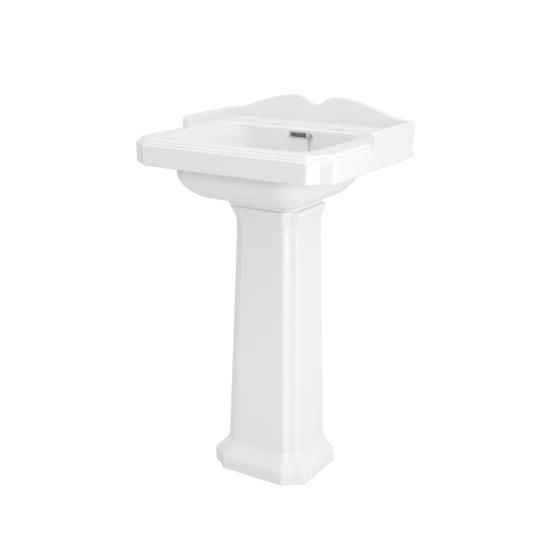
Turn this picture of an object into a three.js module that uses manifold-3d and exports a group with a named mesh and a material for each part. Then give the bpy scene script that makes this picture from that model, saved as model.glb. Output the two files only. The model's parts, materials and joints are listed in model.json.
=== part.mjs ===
// Pedestal wash basin: a white china basin with a scalloped backsplash on a tapered pedestal,
// with its waste, overflow, plug and ball chain, bottle trap and fixings.
// Millimetres, +Z up, +X to the right of someone facing the basin's front, +Y towards the wall.
// The origin is on the floor at the centre of the basin's plan; the wall is the plane y = basinDepth / 2.

import * as THREE from 'three';
import { mergeVertices } from 'three/addons/utils/BufferGeometryUtils.js';
import Module from 'manifold-3d';

const wasm = await Module();
wasm.setup();

// ---- Driving dimensions ----

const gap = 0.3;
const wall = 12;

const basinWidth = 540;
const basinDepth = 442;
const basinCantX = 50;
const basinCantY = 38;
const cantHollow = 0.07;
const bandBottom = 797;
const bandTop = 847;
const bandArris = 5;
const deckZ = 861;
const deckThickness = 10;

const upstandThickness = 15;
const upstandFront = 2;
const upstandTop = 887;
const backsplashThickness = 14;
const backsplashDip = 910;
const backsplashPeak = 931.5;

const bodyBottom = 691;
const bowlRear = 119;
const bowlFloor = 712;
const pocketFront = 134;

const tapX = 92.5;
const tapY = 155;
const tapHoleRadius = 17.5;

const wasteY = 10;
const wasteHoleRadius = 22.5;
const wasteBossRadius = 38;
const wasteBossBottom = 684;
const wasteRecessRadius = 34;
const wasteRecessZ = 708;

const overflowZ = 843.5;
const overflowHeight = 12;
const overflowWidth = 40;
const ductHalfWidth = 26;
const ductRear = 150;

const stayX = 34;
const stayZ = 843;

const wallFixingX = 140;
const wallFixingZ = 828;

const plinthHalfWidth = 135;
const plinthFront = -101;
const plinthHeight = 38;
const plinthCantX = 47;
const plinthCantY = 34;
const shaftBottomZ = 73;
const shaftTopZ = 640;
const shaftBottomHalfWidth = 103;
const shaftTopHalfWidth = 88;
const shaftBottomFront = -71;
const shaftTopFront = -49;
const shaftCantX = 29;
const shaftCantY = 22;
const capitalHalfWidth = 101;
const capitalFront = -65;
const capitalCantX = 36;
const capitalCantY = 28;
const capitalFaceZ = 672;
const pedestalTop = 689;
const pedestalRear = 86;

const footLugX = 104;
const footLugY = 64;
const footLugHeight = 12;

const trapOutletZ = 585;
const wallPlaneY = basinDepth / 2;
const outletEndY = 198;

const turnSides = 28;

// ---- Materials ----

const china = { color: 0xf5f5f2, roughness: 0.12, metalness: 0 };
const chrome = { color: 0xd8dadc, roughness: 0.14, metalness: 1 };
const brass = { color: 0xb9954f, roughness: 0.35, metalness: 1 };
const zincSteel = { color: 0xb4b7ba, roughness: 0.38, metalness: 1 };
const blackRubber = { color: 0x1b1b1c, roughness: 0.72, metalness: 0 };
const whitePlastic = { color: 0xeceded, roughness: 0.42, metalness: 0 };
const sealant = { color: 0xe9e9e6, roughness: 0.55, metalness: 0 };

const sink = new THREE.Group();

function addPart(name, solid, finish) {
  const mesh = new THREE.Mesh(toGeometry(solid), new THREE.MeshStandardMaterial(finish));
  mesh.name = name;
  sink.add(mesh);
}

// ---- Solids from three.js geometry ----

function toSolid(geometry) {
  const bare = geometry.clone();
  bare.deleteAttribute('normal');
  bare.deleteAttribute('uv');
  const welded = mergeVertices(bare, 1e-4);
  return new wasm.Manifold(new wasm.Mesh({
    numProp: 3,
    vertProperties: Float32Array.from(welded.attributes.position.array),
    triVerts: Uint32Array.from(welded.index.array),
  }));
}

function toGeometry(solid) {
  const mesh = solid.getMesh();
  const geometry = new THREE.BufferGeometry();
  geometry.setAttribute('position', new THREE.BufferAttribute(Float32Array.from(mesh.vertProperties), 3));
  geometry.setIndex(new THREE.BufferAttribute(Uint32Array.from(mesh.triVerts), 1));
  geometry.computeVertexNormals();
  return geometry;
}

function join(...solids) {
  return solids.reduce((sum, solid) => sum.add(solid));
}

function cut(solid, ...tools) {
  return tools.reduce((rest, tool) => rest.subtract(tool), solid);
}

function block(x0, x1, y0, y1, z0, z1) {
  const box = new THREE.BoxGeometry(x1 - x0, y1 - y0, z1 - z0);
  box.translate((x0 + x1) / 2, (y0 + y1) / 2, (z0 + z1) / 2);
  return toSolid(box);
}

// Upright cylinder about the vertical line through (x, y).
function rod(x, y, radius, z0, z1, sides = turnSides) {
  const cylinder = new THREE.CylinderGeometry(radius, radius, z1 - z0, sides);
  cylinder.rotateX(Math.PI / 2);
  cylinder.translate(x, y, (z0 + z1) / 2);
  return toSolid(cylinder);
}

// Cylinder lying along Y through (x, z).
function rodAlongY(x, z, radius, y0, y1, sides = turnSides) {
  const cylinder = new THREE.CylinderGeometry(radius, radius, y1 - y0, sides);
  cylinder.translate(x, (y0 + y1) / 2, z);
  return toSolid(cylinder);
}

// Turned piece from [radius, height] corners that close on themselves or start and end on the axis.
function turned(corners, sides = turnSides) {
  const profile = corners.map(([radius, height]) => new THREE.Vector2(radius, height));
  const onAxis = corners[0][0] === 0;
  const closed = onAxis ? profile : [...profile, profile[0].clone()];
  const lathe = new THREE.LatheGeometry(closed, sides);
  lathe.rotateX(Math.PI / 2);
  return toSolid(lathe);
}

function turnedAt(x, y, corners, sides = turnSides) {
  return turned(corners, sides).translate([x, y, 0]);
}

// Turned piece whose axis lies along +Y, starting at y = 0.
function turnedAlongY(x, z, corners, sides = turnSides) {
  return turned(corners, sides).rotate([-90, 0, 0]).translate([x, 0, z]);
}

function ring(x, y, inner, outer, z0, z1, sides = turnSides) {
  return turnedAt(x, y, [[inner, z0], [outer, z0], [outer, z1], [inner, z1]], sides);
}

function ringAlongY(x, z, inner, outer, y0, y1, sides = turnSides) {
  return turnedAlongY(x, z, [[inner, y0], [outer, y0], [outer, y1], [inner, y1]], sides);
}

// Stack of plan outlines with the same number of points, from the lowest level to the highest.
function loft(levels) {
  const base = levels[0].outline;
  const steps = levels.length - 1;
  const shape = new THREE.Shape(base);
  const geometry = new THREE.ExtrudeGeometry(shape, { depth: steps, steps, bevelEnabled: false });
  const pointKey = (x, y) => `${x.toFixed(2)},${y.toFixed(2)}`;
  const order = new Map(base.map((point, index) => [pointKey(point.x, point.y), index]));
  const position = geometry.attributes.position;
  for (let i = 0; i < position.count; i += 1) {
    const level = levels[Math.round(position.getZ(i))];
    const point = level.outline[order.get(pointKey(position.getX(i), position.getY(i)))];
    position.setXYZ(i, point.x, point.y, level.z);
  }
  return toSolid(geometry);
}

// Plan outline: square rear corners, and canted front corners that are a little hollow, a shallow V.
// The whole outline is pulled in by an even inset.
function cantedOutline({ halfWidth, front, rear, cantX, cantY }, inset = 0, rearInset = inset) {
  const shrink = inset * (cantX + cantY - Math.hypot(cantX, cantY));
  const a = cantX - shrink / cantY;
  const b = cantY - shrink / cantX;
  const w = halfWidth - inset;
  const f = front + inset;
  const r = rear - rearInset;
  const valleyX = w - a / 2 - cantHollow * b;
  const valleyY = f + b / 2 + cantHollow * a;
  const rightHalf = [[w - a, f], [valleyX, valleyY], [w, f + b], [w, r]];
  const leftHalf = rightHalf.map(([x, y]) => [-x, y]).reverse();
  return [...rightHalf, ...leftHalf].map(([x, y]) => new THREE.Vector2(x, y));
}

// Plan outline with four round corners.
function roundedOutline({ halfWidth, front, rear, frontRadius, rearRadius }, arcSteps = 5) {
  const points = [];
  const addArc = (cx, cy, radius, start) => {
    for (let i = 0; i <= arcSteps; i += 1) {
      const angle = start + (i / arcSteps) * (Math.PI / 2);
      points.push(new THREE.Vector2(cx + radius * Math.cos(angle), cy + radius * Math.sin(angle)));
    }
  };
  addArc(halfWidth - frontRadius, front + frontRadius, frontRadius, -Math.PI / 2);
  addArc(halfWidth - rearRadius, rear - rearRadius, rearRadius, 0);
  addArc(-halfWidth + rearRadius, rear - rearRadius, rearRadius, Math.PI / 2);
  addArc(-halfWidth + frontRadius, front + frontRadius, frontRadius, Math.PI);
  return points;
}

function blendPlans(from, to, amount) {
  const plan = {};
  for (const name of Object.keys(from)) {
    plan[name] = from[name] + (to[name] - from[name]) * amount;
  }
  return plan;
}

// ---- Basin ----

const basinPlan = {
  halfWidth: basinWidth / 2,
  front: -basinDepth / 2,
  rear: basinDepth / 2,
  cantX: basinCantX,
  cantY: basinCantY,
};

// Vertical band with the stepped moulding above it, up to the deck.
function rimSolid() {
  const section = [
    [0, bandBottom],
    [0, bandTop - 2],
    [1.5, bandTop],
    [4.5, bandTop + 1],
    [5.5, bandTop + 5],
    [11, bandTop + 6.5],
    [12.5, deckZ - 1],
    [18, deckZ],
  ];
  return loft(section.map(([inset, z]) => ({ z, outline: cantedOutline(basinPlan, inset, 0) })));
}

// Everything inside the basin's plan, with the band's lower edge rounded off.
function basinEnvelope() {
  const section = [
    [bandArris, wasteBossBottom - 5],
    [bandArris, bandBottom],
    [bandArris * 0.3, bandBottom + bandArris * 0.3],
    [0, bandBottom + bandArris],
    [0, backsplashPeak + 5],
  ];
  return loft(section.map(([inset, z]) => ({ z, outline: cantedOutline(basinPlan, inset, 0) })));
}

// Side return: a low wall on the deck with a round front corner.
function upstandSolid(side) {
  const cornerRadius = 11;
  const profile = new THREE.Shape();
  profile.moveTo(upstandFront, bandBottom);
  profile.lineTo(wallPlaneY, bandBottom);
  profile.lineTo(wallPlaneY, upstandTop);
  profile.lineTo(upstandFront + cornerRadius, upstandTop);
  const centreY = upstandFront + cornerRadius;
  profile.absarc(centreY, upstandTop - cornerRadius, cornerRadius, Math.PI / 2, Math.PI, false);
  const plate = new THREE.ExtrudeGeometry(profile, {
    depth: upstandThickness,
    bevelEnabled: false,
    curveSegments: 5,
  });
  plate.rotateX(Math.PI / 2);
  plate.rotateZ(Math.PI / 2);
  const inner = basinWidth / 2 - upstandThickness;
  plate.translate(side > 0 ? inner : -basinWidth / 2, 0, 0);
  return toSolid(plate);
}

// Backsplash: flat ends, an ogee up to two humps and a small flat dip at the centre.
function backsplashSolid() {
  const endX = basinWidth / 2;
  const shoulderX = 246;
  const humpX = 62;
  const dipX = 6;
  const rise = backsplashPeak - upstandTop;
  const rightOgee = [
    [216, upstandTop + 0.14 * rise],
    [180, upstandTop + 0.43 * rise],
    [142, upstandTop + 0.71 * rise],
    [104, upstandTop + 0.9 * rise],
    [humpX, backsplashPeak],
    [40, backsplashPeak - 3],
    [22, backsplashDip + 8.5],
    [dipX, backsplashDip],
  ];
  const toPoint = ([x, z]) => new THREE.Vector2(x, z);
  const leftOgee = rightOgee.map(([x, z]) => [-x, z]).reverse();
  const outline = new THREE.Shape();
  outline.moveTo(-endX, bandBottom);
  outline.lineTo(endX, bandBottom);
  outline.lineTo(endX, upstandTop);
  outline.lineTo(shoulderX, upstandTop);
  outline.splineThru(rightOgee.map(toPoint));
  outline.lineTo(-dipX, backsplashDip);
  outline.splineThru([...leftOgee.slice(1).map(toPoint), new THREE.Vector2(-shoulderX, upstandTop)]);
  outline.lineTo(-endX, upstandTop);
  const plate = new THREE.ExtrudeGeometry(outline, {
    depth: backsplashThickness,
    bevelEnabled: false,
    curveSegments: 3,
  });
  plate.rotateX(Math.PI / 2);
  plate.translate(0, wallPlaneY, 0);
  return toSolid(plate);
}

const bodyRimPlan = { halfWidth: 216, front: -199, rear: 175, frontRadius: 66, rearRadius: 56 };
const bodyTopPlan = { halfWidth: 173, front: -189, rear: 175, frontRadius: 54, rearRadius: 56 };
const bodyBottomPlan = { halfWidth: 98, front: -66, rear: 150, frontRadius: 30, rearRadius: 24 };

// Outside of the bowl: widest under the deck, upright below the rim, then rounding in to the flat
// that sits on the pedestal.
function bowlBodySolid() {
  const profile = [
    [1, bodyBottom],
    [0.98, 697],
    [0.9, 705],
    [0.49, 717],
    [0.27, 732],
    [0.11, 750],
    [0.01, 772],
    [0, bandBottom],
  ];
  const levels = profile.map(([amount, z]) => ({
    z,
    outline: roundedOutline(blendPlans(bodyTopPlan, bodyBottomPlan, amount)),
  }));
  levels.push({ z: deckZ - deckThickness + 3, outline: roundedOutline(bodyRimPlan) });
  return loft(levels);
}

// Hollow of the bowl, run up past the deck.
function bowlHollow() {
  const plan = (halfWidth, front, rear, frontRadius, rearRadius) => (
    { halfWidth, front, rear, frontRadius, rearRadius }
  );
  const levels = [
    [bowlFloor, plan(62, -44, 54, 38, 38)],
    [716, plan(92, -78, 72, 44, 44)],
    [724, plan(122, -110, 89, 48, 48)],
    [736, plan(143, -135, 101, 50, 50)],
    [755, plan(157, -153, 110, 50, 50)],
    [785, plan(165, -163, 116, 50, 50)],
    [815, plan(173, -168, bowlRear, 50, 50)],
    [843, plan(189, -174, bowlRear, 51, 50)],
    [deckZ, plan(202, -180, bowlRear, 53, 50)],
    [deckZ + 4, plan(202, -180, bowlRear, 53, 50)],
  ];
  return loft(levels.map(([z, levelPlan]) => ({ z, outline: roundedOutline(levelPlan) })));
}

// Space under the rim and the deck, inside the band.
function rimPocket() {
  const outline = cantedOutline(basinPlan, wall, wall + 2);
  return loft([bandBottom - 10, deckZ - deckThickness].map((z) => ({ z, outline })));
}

// Space behind the bowl for the taps' shanks, open to the rear between the body's two cheeks.
function servicePocket() {
  const rear = wallPlaneY - wall - 2;
  const ceiling = deckZ - deckThickness;
  const levels = [[84, 703], [110, 712], [133, 726], [153, 743], [167, 768], [170, ceiling]];
  return loft(levels.map(([halfWidth, z]) => ({
    z,
    outline: [
      new THREE.Vector2(-halfWidth, pocketFront),
      new THREE.Vector2(halfWidth, pocketFront),
      new THREE.Vector2(halfWidth, rear),
      new THREE.Vector2(-halfWidth, rear),
    ],
  })));
}

function basinSolid() {
  const half = basinWidth / 2;
  const rearDeck = block(-half, half, upstandFront, wallPlaneY, bandBottom, deckZ);
  const shell = cut(join(rimSolid(), rearDeck), rimPocket());
  const body = cut(bowlBodySolid(), servicePocket());
  const ductHousing = block(-ductHalfWidth, ductHalfWidth, pocketFront - 6, ductRear, bodyBottom + 3, 856);
  const boss = rod(0, wasteY, wasteBossRadius, wasteBossBottom, bowlFloor - 10);
  const rearFill = block(-half, half, 0, wallPlaneY + 1, bandBottom - 1, deckZ - 5);
  const casting = join(
    shell,
    body,
    ductHousing,
    boss,
    upstandSolid(-1),
    upstandSolid(1),
    cut(backsplashSolid(), rearFill),
  ).intersect(basinEnvelope());
  const ductX = overflowWidth / 2;
  const ductTop = overflowZ + overflowHeight / 2;
  const tools = [
    bowlHollow(),
    rod(0, wasteY, wasteHoleRadius, wasteBossBottom - 5, deckZ),
    rod(0, wasteY, wasteRecessRadius, wasteRecessZ, deckZ),
    block(-ductX, ductX, bowlRear - 5, pocketFront + 3, ductTop - overflowHeight, ductTop),
    block(-ductX, ductX, pocketFront, ductRear - 8, 697, ductTop),
    block(-12, 12, wasteY, ductRear - 8, 697, 705),
    rodAlongY(stayX, stayZ, 3.8, bowlRear - 5, pocketFront + 5, 16),
  ];
  for (const side of [-1, 1]) {
    tools.push(rod(side * tapX, tapY, tapHoleRadius, deckZ - deckThickness - 5, deckZ + 5));
    tools.push(rodAlongY(side * wallFixingX, wallFixingZ, 8, wallPlaneY - wall - 5, wallPlaneY + 5, 20));
  }
  return cut(casting, ...tools);
}

// ---- Pedestal ----

function pedestalLevels(inset, rear) {
  const plan = (halfWidth, front, cantX, cantY) => ({ halfWidth, front, rear, cantX, cantY });
  const plinth = plan(plinthHalfWidth, plinthFront, plinthCantX, plinthCantY);
  const shaftBottom = plan(shaftBottomHalfWidth, shaftBottomFront, shaftCantX, shaftCantY);
  const shaftTop = plan(shaftTopHalfWidth, shaftTopFront, shaftCantX, shaftCantY);
  const capital = plan(capitalHalfWidth, capitalFront, capitalCantX, capitalCantY);
  const levels = [
    [0, plinth],
    [plinthHeight, plinth],
    [plinthHeight + 3, blendPlans(plinth, shaftBottom, 0.14)],
    [plinthHeight + 17, blendPlans(plinth, shaftBottom, 0.62)],
    [shaftBottomZ, shaftBottom],
    [shaftTopZ, shaftTop],
    [shaftTopZ + 14, blendPlans(shaftTop, capital, 0.28)],
    [shaftTopZ + 26, blendPlans(shaftTop, capital, 0.78)],
    [capitalFaceZ, capital],
    [pedestalTop, capital],
  ];
  return levels.map(([z, levelPlan]) => ({ z, outline: cantedOutline(levelPlan, inset, 0) }));
}

function pedestalSolid() {
  const outer = loft(pedestalLevels(0, pedestalRear));
  const hollowLevels = pedestalLevels(wall, pedestalRear + 10);
  hollowLevels[0].z = -5;
  hollowLevels[hollowLevels.length - 1].z = pedestalTop + 5;
  const shell = cut(outer, loft(hollowLevels));
  const inside = plinthHalfWidth - wall;
  const lugs = [-1, 1].map((side) => {
    const x = [side * (inside - 36), side * (inside + 2)].sort((p, q) => p - q);
    const lug = block(x[0], x[1], footLugY - 18, footLugY + 18, 0, footLugHeight);
    return cut(lug, rod(side * footLugX, footLugY, 3.4, -5, footLugHeight + 5, 16));
  });
  return join(shell, ...lugs);
}

// Bead of sealant between the pedestal's top edge and the basin.
function pedestalSealSolid() {
  const capital = {
    halfWidth: capitalHalfWidth,
    front: capitalFront,
    rear: pedestalRear,
    cantX: capitalCantX,
    cantY: capitalCantY,
  };
  const z0 = pedestalTop + gap;
  const z1 = bodyBottom - gap;
  const outer = loft([z0, z1].map((z) => ({ z, outline: cantedOutline(capital, 2, 2) })));
  const inner = loft([z0 - 1, z1 + 1].map((z) => ({ z, outline: cantedOutline(capital, wall - 2, -5) })));
  return cut(outer, inner);
}

// ---- Waste ----

const wasteTailRadius = 20.9;
const wasteTailBottom = 628;
const wasteFlangeTop = 713;
const wasteFlangeBottom = 710.2;

// Slotted waste: a flange in the bowl with a tapered seat, over a long tail through the china.
function wasteBodySolid() {
  const bore = 16.5;
  const profile = [
    [bore, wasteTailBottom],
    [wasteTailRadius, wasteTailBottom],
    [wasteTailRadius, wasteFlangeBottom - 0.4],
    [31, wasteFlangeBottom],
    [32.5, wasteFlangeBottom + 0.8],
    [30, wasteFlangeTop - 0.2],
    [24, wasteFlangeTop],
    [22, wasteFlangeTop - 1.4],
    [19.2, 706.5],
    [bore, 706],
  ];
  const slot = block(-5, 5, wasteY - 30, wasteY + 30, 697, 704);
  return cut(turnedAt(0, wasteY, profile, 32), slot);
}

function hexNutSolid(x, y, across, bore, z0, z1) {
  const hexagon = rod(x, y, across / Math.sqrt(3), z0, z1, 6);
  return cut(hexagon, rod(x, y, bore, z0 - 1, z1 + 1));
}

function addWaste() {
  addPart('waste_body', wasteBodySolid(), chrome);
  addPart('waste_top_seal', ring(0, wasteY, 21.6, 31, wasteRecessZ + gap, 709.4), blackRubber);
  const sealTop = wasteBossBottom - gap;
  addPart('waste_bottom_seal', ring(0, wasteY, 21.6, 33, sealTop - 3.4, sealTop), blackRubber);
  const nutTop = sealTop - 3.4 - gap;
  addPart('waste_backnut', hexNutSolid(0, wasteY, 56, 21.3, nutTop - 9, nutTop), brass);
}

// ---- Plug and its eye ----

const plugTop = 715.2;

function addPlug() {
  const cap = turnedAt(0, wasteY, [
    [0, 712.4],
    [21.2, 712.4],
    [21.4, 713.2],
    [19, 714.4],
    [0, plugTop],
  ].map(([radius, z]) => [radius, z + 1]), 32);
  addPart('plug_cap', cap, chrome);
  const seal = turnedAt(0, wasteY, [[0, 707.2], [18.6, 707.2], [21.2, 713], [0, 713]], 32);
  addPart('plug_seal', seal, blackRubber);
  const eyeRadius = 3.6;
  const eye = new THREE.TorusGeometry(eyeRadius, 0.8, 8, 20);
  eye.rotateX(Math.PI / 2);
  eye.translate(0, wasteY, plugTop + 1 + 2.4 + eyeRadius);
  const post = rod(0, wasteY, 2.2, plugTop + 1 + gap, plugTop + 1 + 3.2, 16);
  addPart('plug_eye', join(toSolid(eye), post), chrome);
}

// ---- Chain stay on the bowl's rear wall ----

function addChainStay() {
  const bolt = turnedAlongY(stayX, stayZ, [
    [0, 107.6],
    [3.2, 107.8],
    [5.2, 109.6],
    [5.2, 111.2],
    [2, 112.6],
    [2, 116],
    [7.4, 116.4],
    [7.4, 118.7],
    [3, 118.7],
    [3, 146],
    [0, 146],
  ], 20);
  addPart('stay_bolt', bolt, chrome);
  const washer = ringAlongY(stayX, stayZ, 3.4, 7, pocketFront + gap, pocketFront + 1.8, 20);
  addPart('stay_washer', washer, zincSteel);
  const nutStart = pocketFront + 1.8 + gap;
  const nut = cut(
    rodAlongY(stayX, stayZ, 10 / Math.sqrt(3), nutStart, nutStart + 5, 6),
    rodAlongY(stayX, stayZ, 3.4, nutStart - 1, nutStart + 6, 16),
  );
  addPart('stay_nut', nut, zincSteel);
}

const stayRingRadius = 6.6;
const stayRingWire = 0.8;
const stayRingY = 114.3;
const stayRingZ = stayZ + 2 + gap - (stayRingRadius - stayRingWire);

function addStayRing() {
  const torus = new THREE.TorusGeometry(stayRingRadius, stayRingWire, 8, 24);
  torus.rotateX(Math.PI / 2);
  torus.translate(stayX, stayRingY, stayRingZ);
  addPart('stay_ring', toSolid(torus), chrome);
}

// ---- Ball chain, as a plain tube of its bead diameter ----

const chainRadius = 1.6;
const chainTop = stayRingZ - stayRingRadius - stayRingWire - gap;
const couplingLength = 7;
const couplingRadius = 2.1;
const eyeZ = plugTop + 1 + 2.4 + 3.6;
const chainSplitRadius = 25;

function chainTube(points) {
  const stops = points.map(([x, y, z]) => new THREE.Vector3(x, y, z));
  const curve = new THREE.CatmullRomCurve3(stops, false, 'centripetal');
  const section = new THREE.Shape();
  section.absarc(0, 0, chainRadius, 0, Math.PI * 2, false);
  const steps = Math.max(3, Math.round(curve.getLength() / (chainRadius * 5)));
  return toSolid(new THREE.ExtrudeGeometry(section, { steps, curveSegments: 8, extrudePath: curve }));
}

// Hanging down the rear wall, then over the bowl's floor in one loose bend to the plug.
const hangingRoute = [
  [stayX, stayRingY, chainTop - couplingLength - gap],
  [34, 114.2, 806],
  [34, 112.4, 790],
  [34.5, 110, 774],
  [36, 106, 758],
  [39, 99, 743],
  [44, 88, 732],
  [51, 74, 725.5],
  [57, 57, 721.5],
  [57, 39, 719],
  [50, 24, 717.6],
  [40, 15, 717.2],
  [31, 11, 717.4],
  [chainSplitRadius + gap, 10, 718],
];
const plugRoute = [
  [chainSplitRadius, 10, 718.1],
  [19, 10, 719.2],
  [12.6, 10, eyeZ - 2],
];

function addChain() {
  const upperCoupling = rod(stayX, stayRingY, couplingRadius, chainTop - couplingLength, chainTop, 12);
  addPart('chain_coupling_upper', upperCoupling, chrome);
  addPart('chain_hanging', chainTube(hangingRoute), chrome);
  addPart('chain_at_plug', chainTube(plugRoute), chrome);
  const lower = new THREE.CylinderGeometry(couplingRadius, couplingRadius, couplingLength, 12);
  lower.rotateZ(Math.PI / 2);
  lower.translate(12.3 - couplingLength / 2, wasteY, eyeZ - 1.6);
  addPart('chain_coupling_lower', toSolid(lower), chrome);
}

// ---- Overflow grid and its sleeve ----

function addOverflow() {
  const halfWidth = 24;
  const halfHeight = 7.5;
  const bars = 8;
  const slotWidth = 3.3;
  const pitch = (2 * halfWidth - 5 + 1.5) / (bars + 1);
  const back = bowlRear - gap;
  let plate = block(-halfWidth, halfWidth, back - 2.2, back, overflowZ - halfHeight, overflowZ + halfHeight);
  for (let i = 0; i <= bars; i += 1) {
    const x = (i - bars / 2) * pitch;
    const [x0, x1] = [x - slotWidth / 2, x + slotWidth / 2];
    plate = cut(plate, block(x0, x1, back - 5, back + 5, overflowZ - 5.2, overflowZ + 5.2));
  }
  addPart('overflow_grid', plate, chrome);
  const sleeveX = overflowWidth / 2 - 0.4;
  const sleeveZ = overflowHeight / 2 - 0.4;
  const rim = 1.4;
  const [boreX, boreZ] = [sleeveX - rim, sleeveZ - rim];
  const sleeve = cut(
    block(-sleeveX, sleeveX, bowlRear, pocketFront - 1, overflowZ - sleeveZ, overflowZ + sleeveZ),
    block(-boreX, boreX, bowlRear - 5, pocketFront + 5, overflowZ - boreZ, overflowZ + boreZ),
  );
  addPart('overflow_sleeve', sleeve, blackRubber);
}

// ---- Bottle trap ----

const dipTubeBottom = 488;
const trapBodyBottom = 520;

function trapBodySolid() {
  const shell = turnedAt(0, wasteY, [
    [27, trapBodyBottom],
    [31, trapBodyBottom],
    [31, 600],
    [24, 612],
    [24, 640],
    [21.4, 640],
    [21.4, 618.4],
    [16, 618.4],
    [16, 607],
    [27, 598],
  ]);
  const outlet = rodAlongY(0, trapOutletZ, 20, wasteY + 24, 75);
  const core = turnedAt(0, wasteY, [[0, 530], [26.9, 530], [26.9, 597], [0, 597]]);
  const passage = rodAlongY(0, trapOutletZ, 16.5, wasteY, 80);
  return cut(join(shell, cut(outlet, core)), passage);
}

function addTrap() {
  addPart('trap_body', trapBodySolid(), whitePlastic);
  const dipTube = turnedAt(0, wasteY, [
    [13.6, dipTubeBottom],
    [15.4, dipTubeBottom],
    [15.4, 618.7],
    [21, 618.7],
    [21, 621],
    [13.6, 621],
  ]);
  addPart('trap_dip_tube', dipTube, whitePlastic);
  addPart('trap_inlet_seal', ring(0, wasteY, 21.3, 24, 640.3, 643), blackRubber);
  const inletNut = turnedAt(0, wasteY, [
    [24.4, 622],
    [29, 622],
    [30, 624],
    [30, 643],
    [28, 646.5],
    [21.4, 646.5],
    [21.4, 643.3],
    [24.4, 643.3],
  ]);
  addPart('trap_inlet_nut', inletNut, whitePlastic);
  addPart('trap_cup_seal', ring(0, wasteY, 27.2, 30.8, 517.3, 519.7), blackRubber);
  const cup = turnedAt(0, wasteY, [
    [0, 470],
    [27, 470],
    [33, 476],
    [33, 508],
    [35.5, 511],
    [35.5, 536],
    [31.4, 536],
    [31.4, 517],
    [27, 517],
    [27, 476],
    [0, 474],
  ]);
  addPart('trap_cup', cup, whitePlastic);
  addPart('trap_outlet_seal', ringAlongY(0, trapOutletZ, 16.3, 19.8, 75.3, 78), blackRubber);
  const outletNut = turnedAlongY(0, trapOutletZ, [
    [20.4, 58],
    [25, 58],
    [26, 60],
    [26, 79],
    [24, 81.5],
    [16.4, 81.5],
    [16.4, 78.3],
    [20.4, 78.3],
  ]);
  addPart('trap_outlet_nut', outletNut, whitePlastic);
  addPart('outlet_pipe', ringAlongY(0, trapOutletZ, 14.2, 16, 52, outletEndY), whitePlastic);
}

// ---- Fixings ----

function addWallFixing(side) {
  const label = side < 0 ? 'left' : 'right';
  const x = side * wallFixingX;
  const z = wallFixingZ;
  const innerFace = wallPlaneY - wall - 2;
  addPart(`wall_stud_${label}`, rodAlongY(x, z, 4, innerFace - 24, wallPlaneY - gap, 16), zincSteel);
  const bush = turnedAlongY(x, z, [
    [4.3, innerFace - 3.3],
    [12, innerFace - 3.3],
    [12, innerFace - gap],
    [7.6, innerFace - gap],
    [7.6, wallPlaneY - 1],
    [4.3, wallPlaneY - 1],
  ], 20);
  addPart(`wall_bush_${label}`, bush, whitePlastic);
  const washerEnd = innerFace - 3.3 - gap;
  const washer = ringAlongY(x, z, 4.3, 12.5, washerEnd - 2, washerEnd, 20);
  addPart(`wall_washer_${label}`, washer, zincSteel);
  const nutEnd = washerEnd - 2 - gap;
  const nut = cut(
    rodAlongY(x, z, 13 / Math.sqrt(3), nutEnd - 6.5, nutEnd, 6),
    rodAlongY(x, z, 4.3, nutEnd - 8, nutEnd + 1, 16),
  );
  addPart(`wall_nut_${label}`, nut, zincSteel);
}

function addFloorFixing(side) {
  const label = side < 0 ? 'left' : 'right';
  const x = side * footLugX;
  const washerBottom = footLugHeight + gap;
  const washer = ring(x, footLugY, 3.2, 8, washerBottom, washerBottom + 1.6, 20);
  addPart(`floor_washer_${label}`, washer, whitePlastic);
  const head = washerBottom + 1.6 + gap;
  const screw = turnedAt(x, footLugY, [
    [0, gap],
    [2.6, gap],
    [2.6, head],
    [6, head],
    [5, head + 3],
    [0, head + 3.8],
  ], 16);
  addPart(`floor_screw_${label}`, screw, zincSteel);
}

// ---- Assembly ----

addPart('basin', basinSolid(), china);
addPart('pedestal', pedestalSolid(), china);
addPart('pedestal_seal', pedestalSealSolid(), sealant);
addWaste();
addPlug();
addChainStay();
addStayRing();
addChain();
addOverflow();
addTrap();
for (const side of [-1, 1]) {
  addWallFixing(side);
  addFloorFixing(side);
}

export default sink;
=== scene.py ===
"""Pedestal basin in white china with its waste, overflow, plug and ball chain, trap and fixings."""

import json
import math

import bmesh
import bpy
from mathutils import Matrix, Vector


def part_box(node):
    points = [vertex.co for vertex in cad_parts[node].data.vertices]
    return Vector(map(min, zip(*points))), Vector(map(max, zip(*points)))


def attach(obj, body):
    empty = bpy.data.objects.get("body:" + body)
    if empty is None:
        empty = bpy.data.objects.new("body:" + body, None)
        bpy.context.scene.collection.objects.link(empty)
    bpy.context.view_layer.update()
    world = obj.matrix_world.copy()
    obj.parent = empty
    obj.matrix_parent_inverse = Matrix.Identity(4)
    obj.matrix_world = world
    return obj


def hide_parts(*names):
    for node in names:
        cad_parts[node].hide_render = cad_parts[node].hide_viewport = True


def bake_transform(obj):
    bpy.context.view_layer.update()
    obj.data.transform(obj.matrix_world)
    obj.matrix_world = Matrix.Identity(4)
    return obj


bl_info = {
    "name": "Pedestal Basin",
    "version": (1, 0, 0),
    "blender": (4, 5, 0),
    "location": "View3D > Sidebar > Basin",
    "description": "Builds a pedestal basin piece by piece around its packed frame",
    "category": "Object",
}

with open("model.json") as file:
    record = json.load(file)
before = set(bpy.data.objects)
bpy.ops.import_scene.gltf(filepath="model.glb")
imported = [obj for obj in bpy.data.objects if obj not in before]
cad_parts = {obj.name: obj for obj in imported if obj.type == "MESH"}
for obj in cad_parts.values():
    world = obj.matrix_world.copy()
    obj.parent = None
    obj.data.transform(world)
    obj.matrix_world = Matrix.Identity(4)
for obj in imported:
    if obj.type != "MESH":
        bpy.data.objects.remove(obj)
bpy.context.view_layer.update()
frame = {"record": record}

MM = 0.001

# ---- Places taken from the frame, in millimetres ----


def in_tenths(place):
    return tuple(round(value / MM, 1) for value in place)


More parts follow.
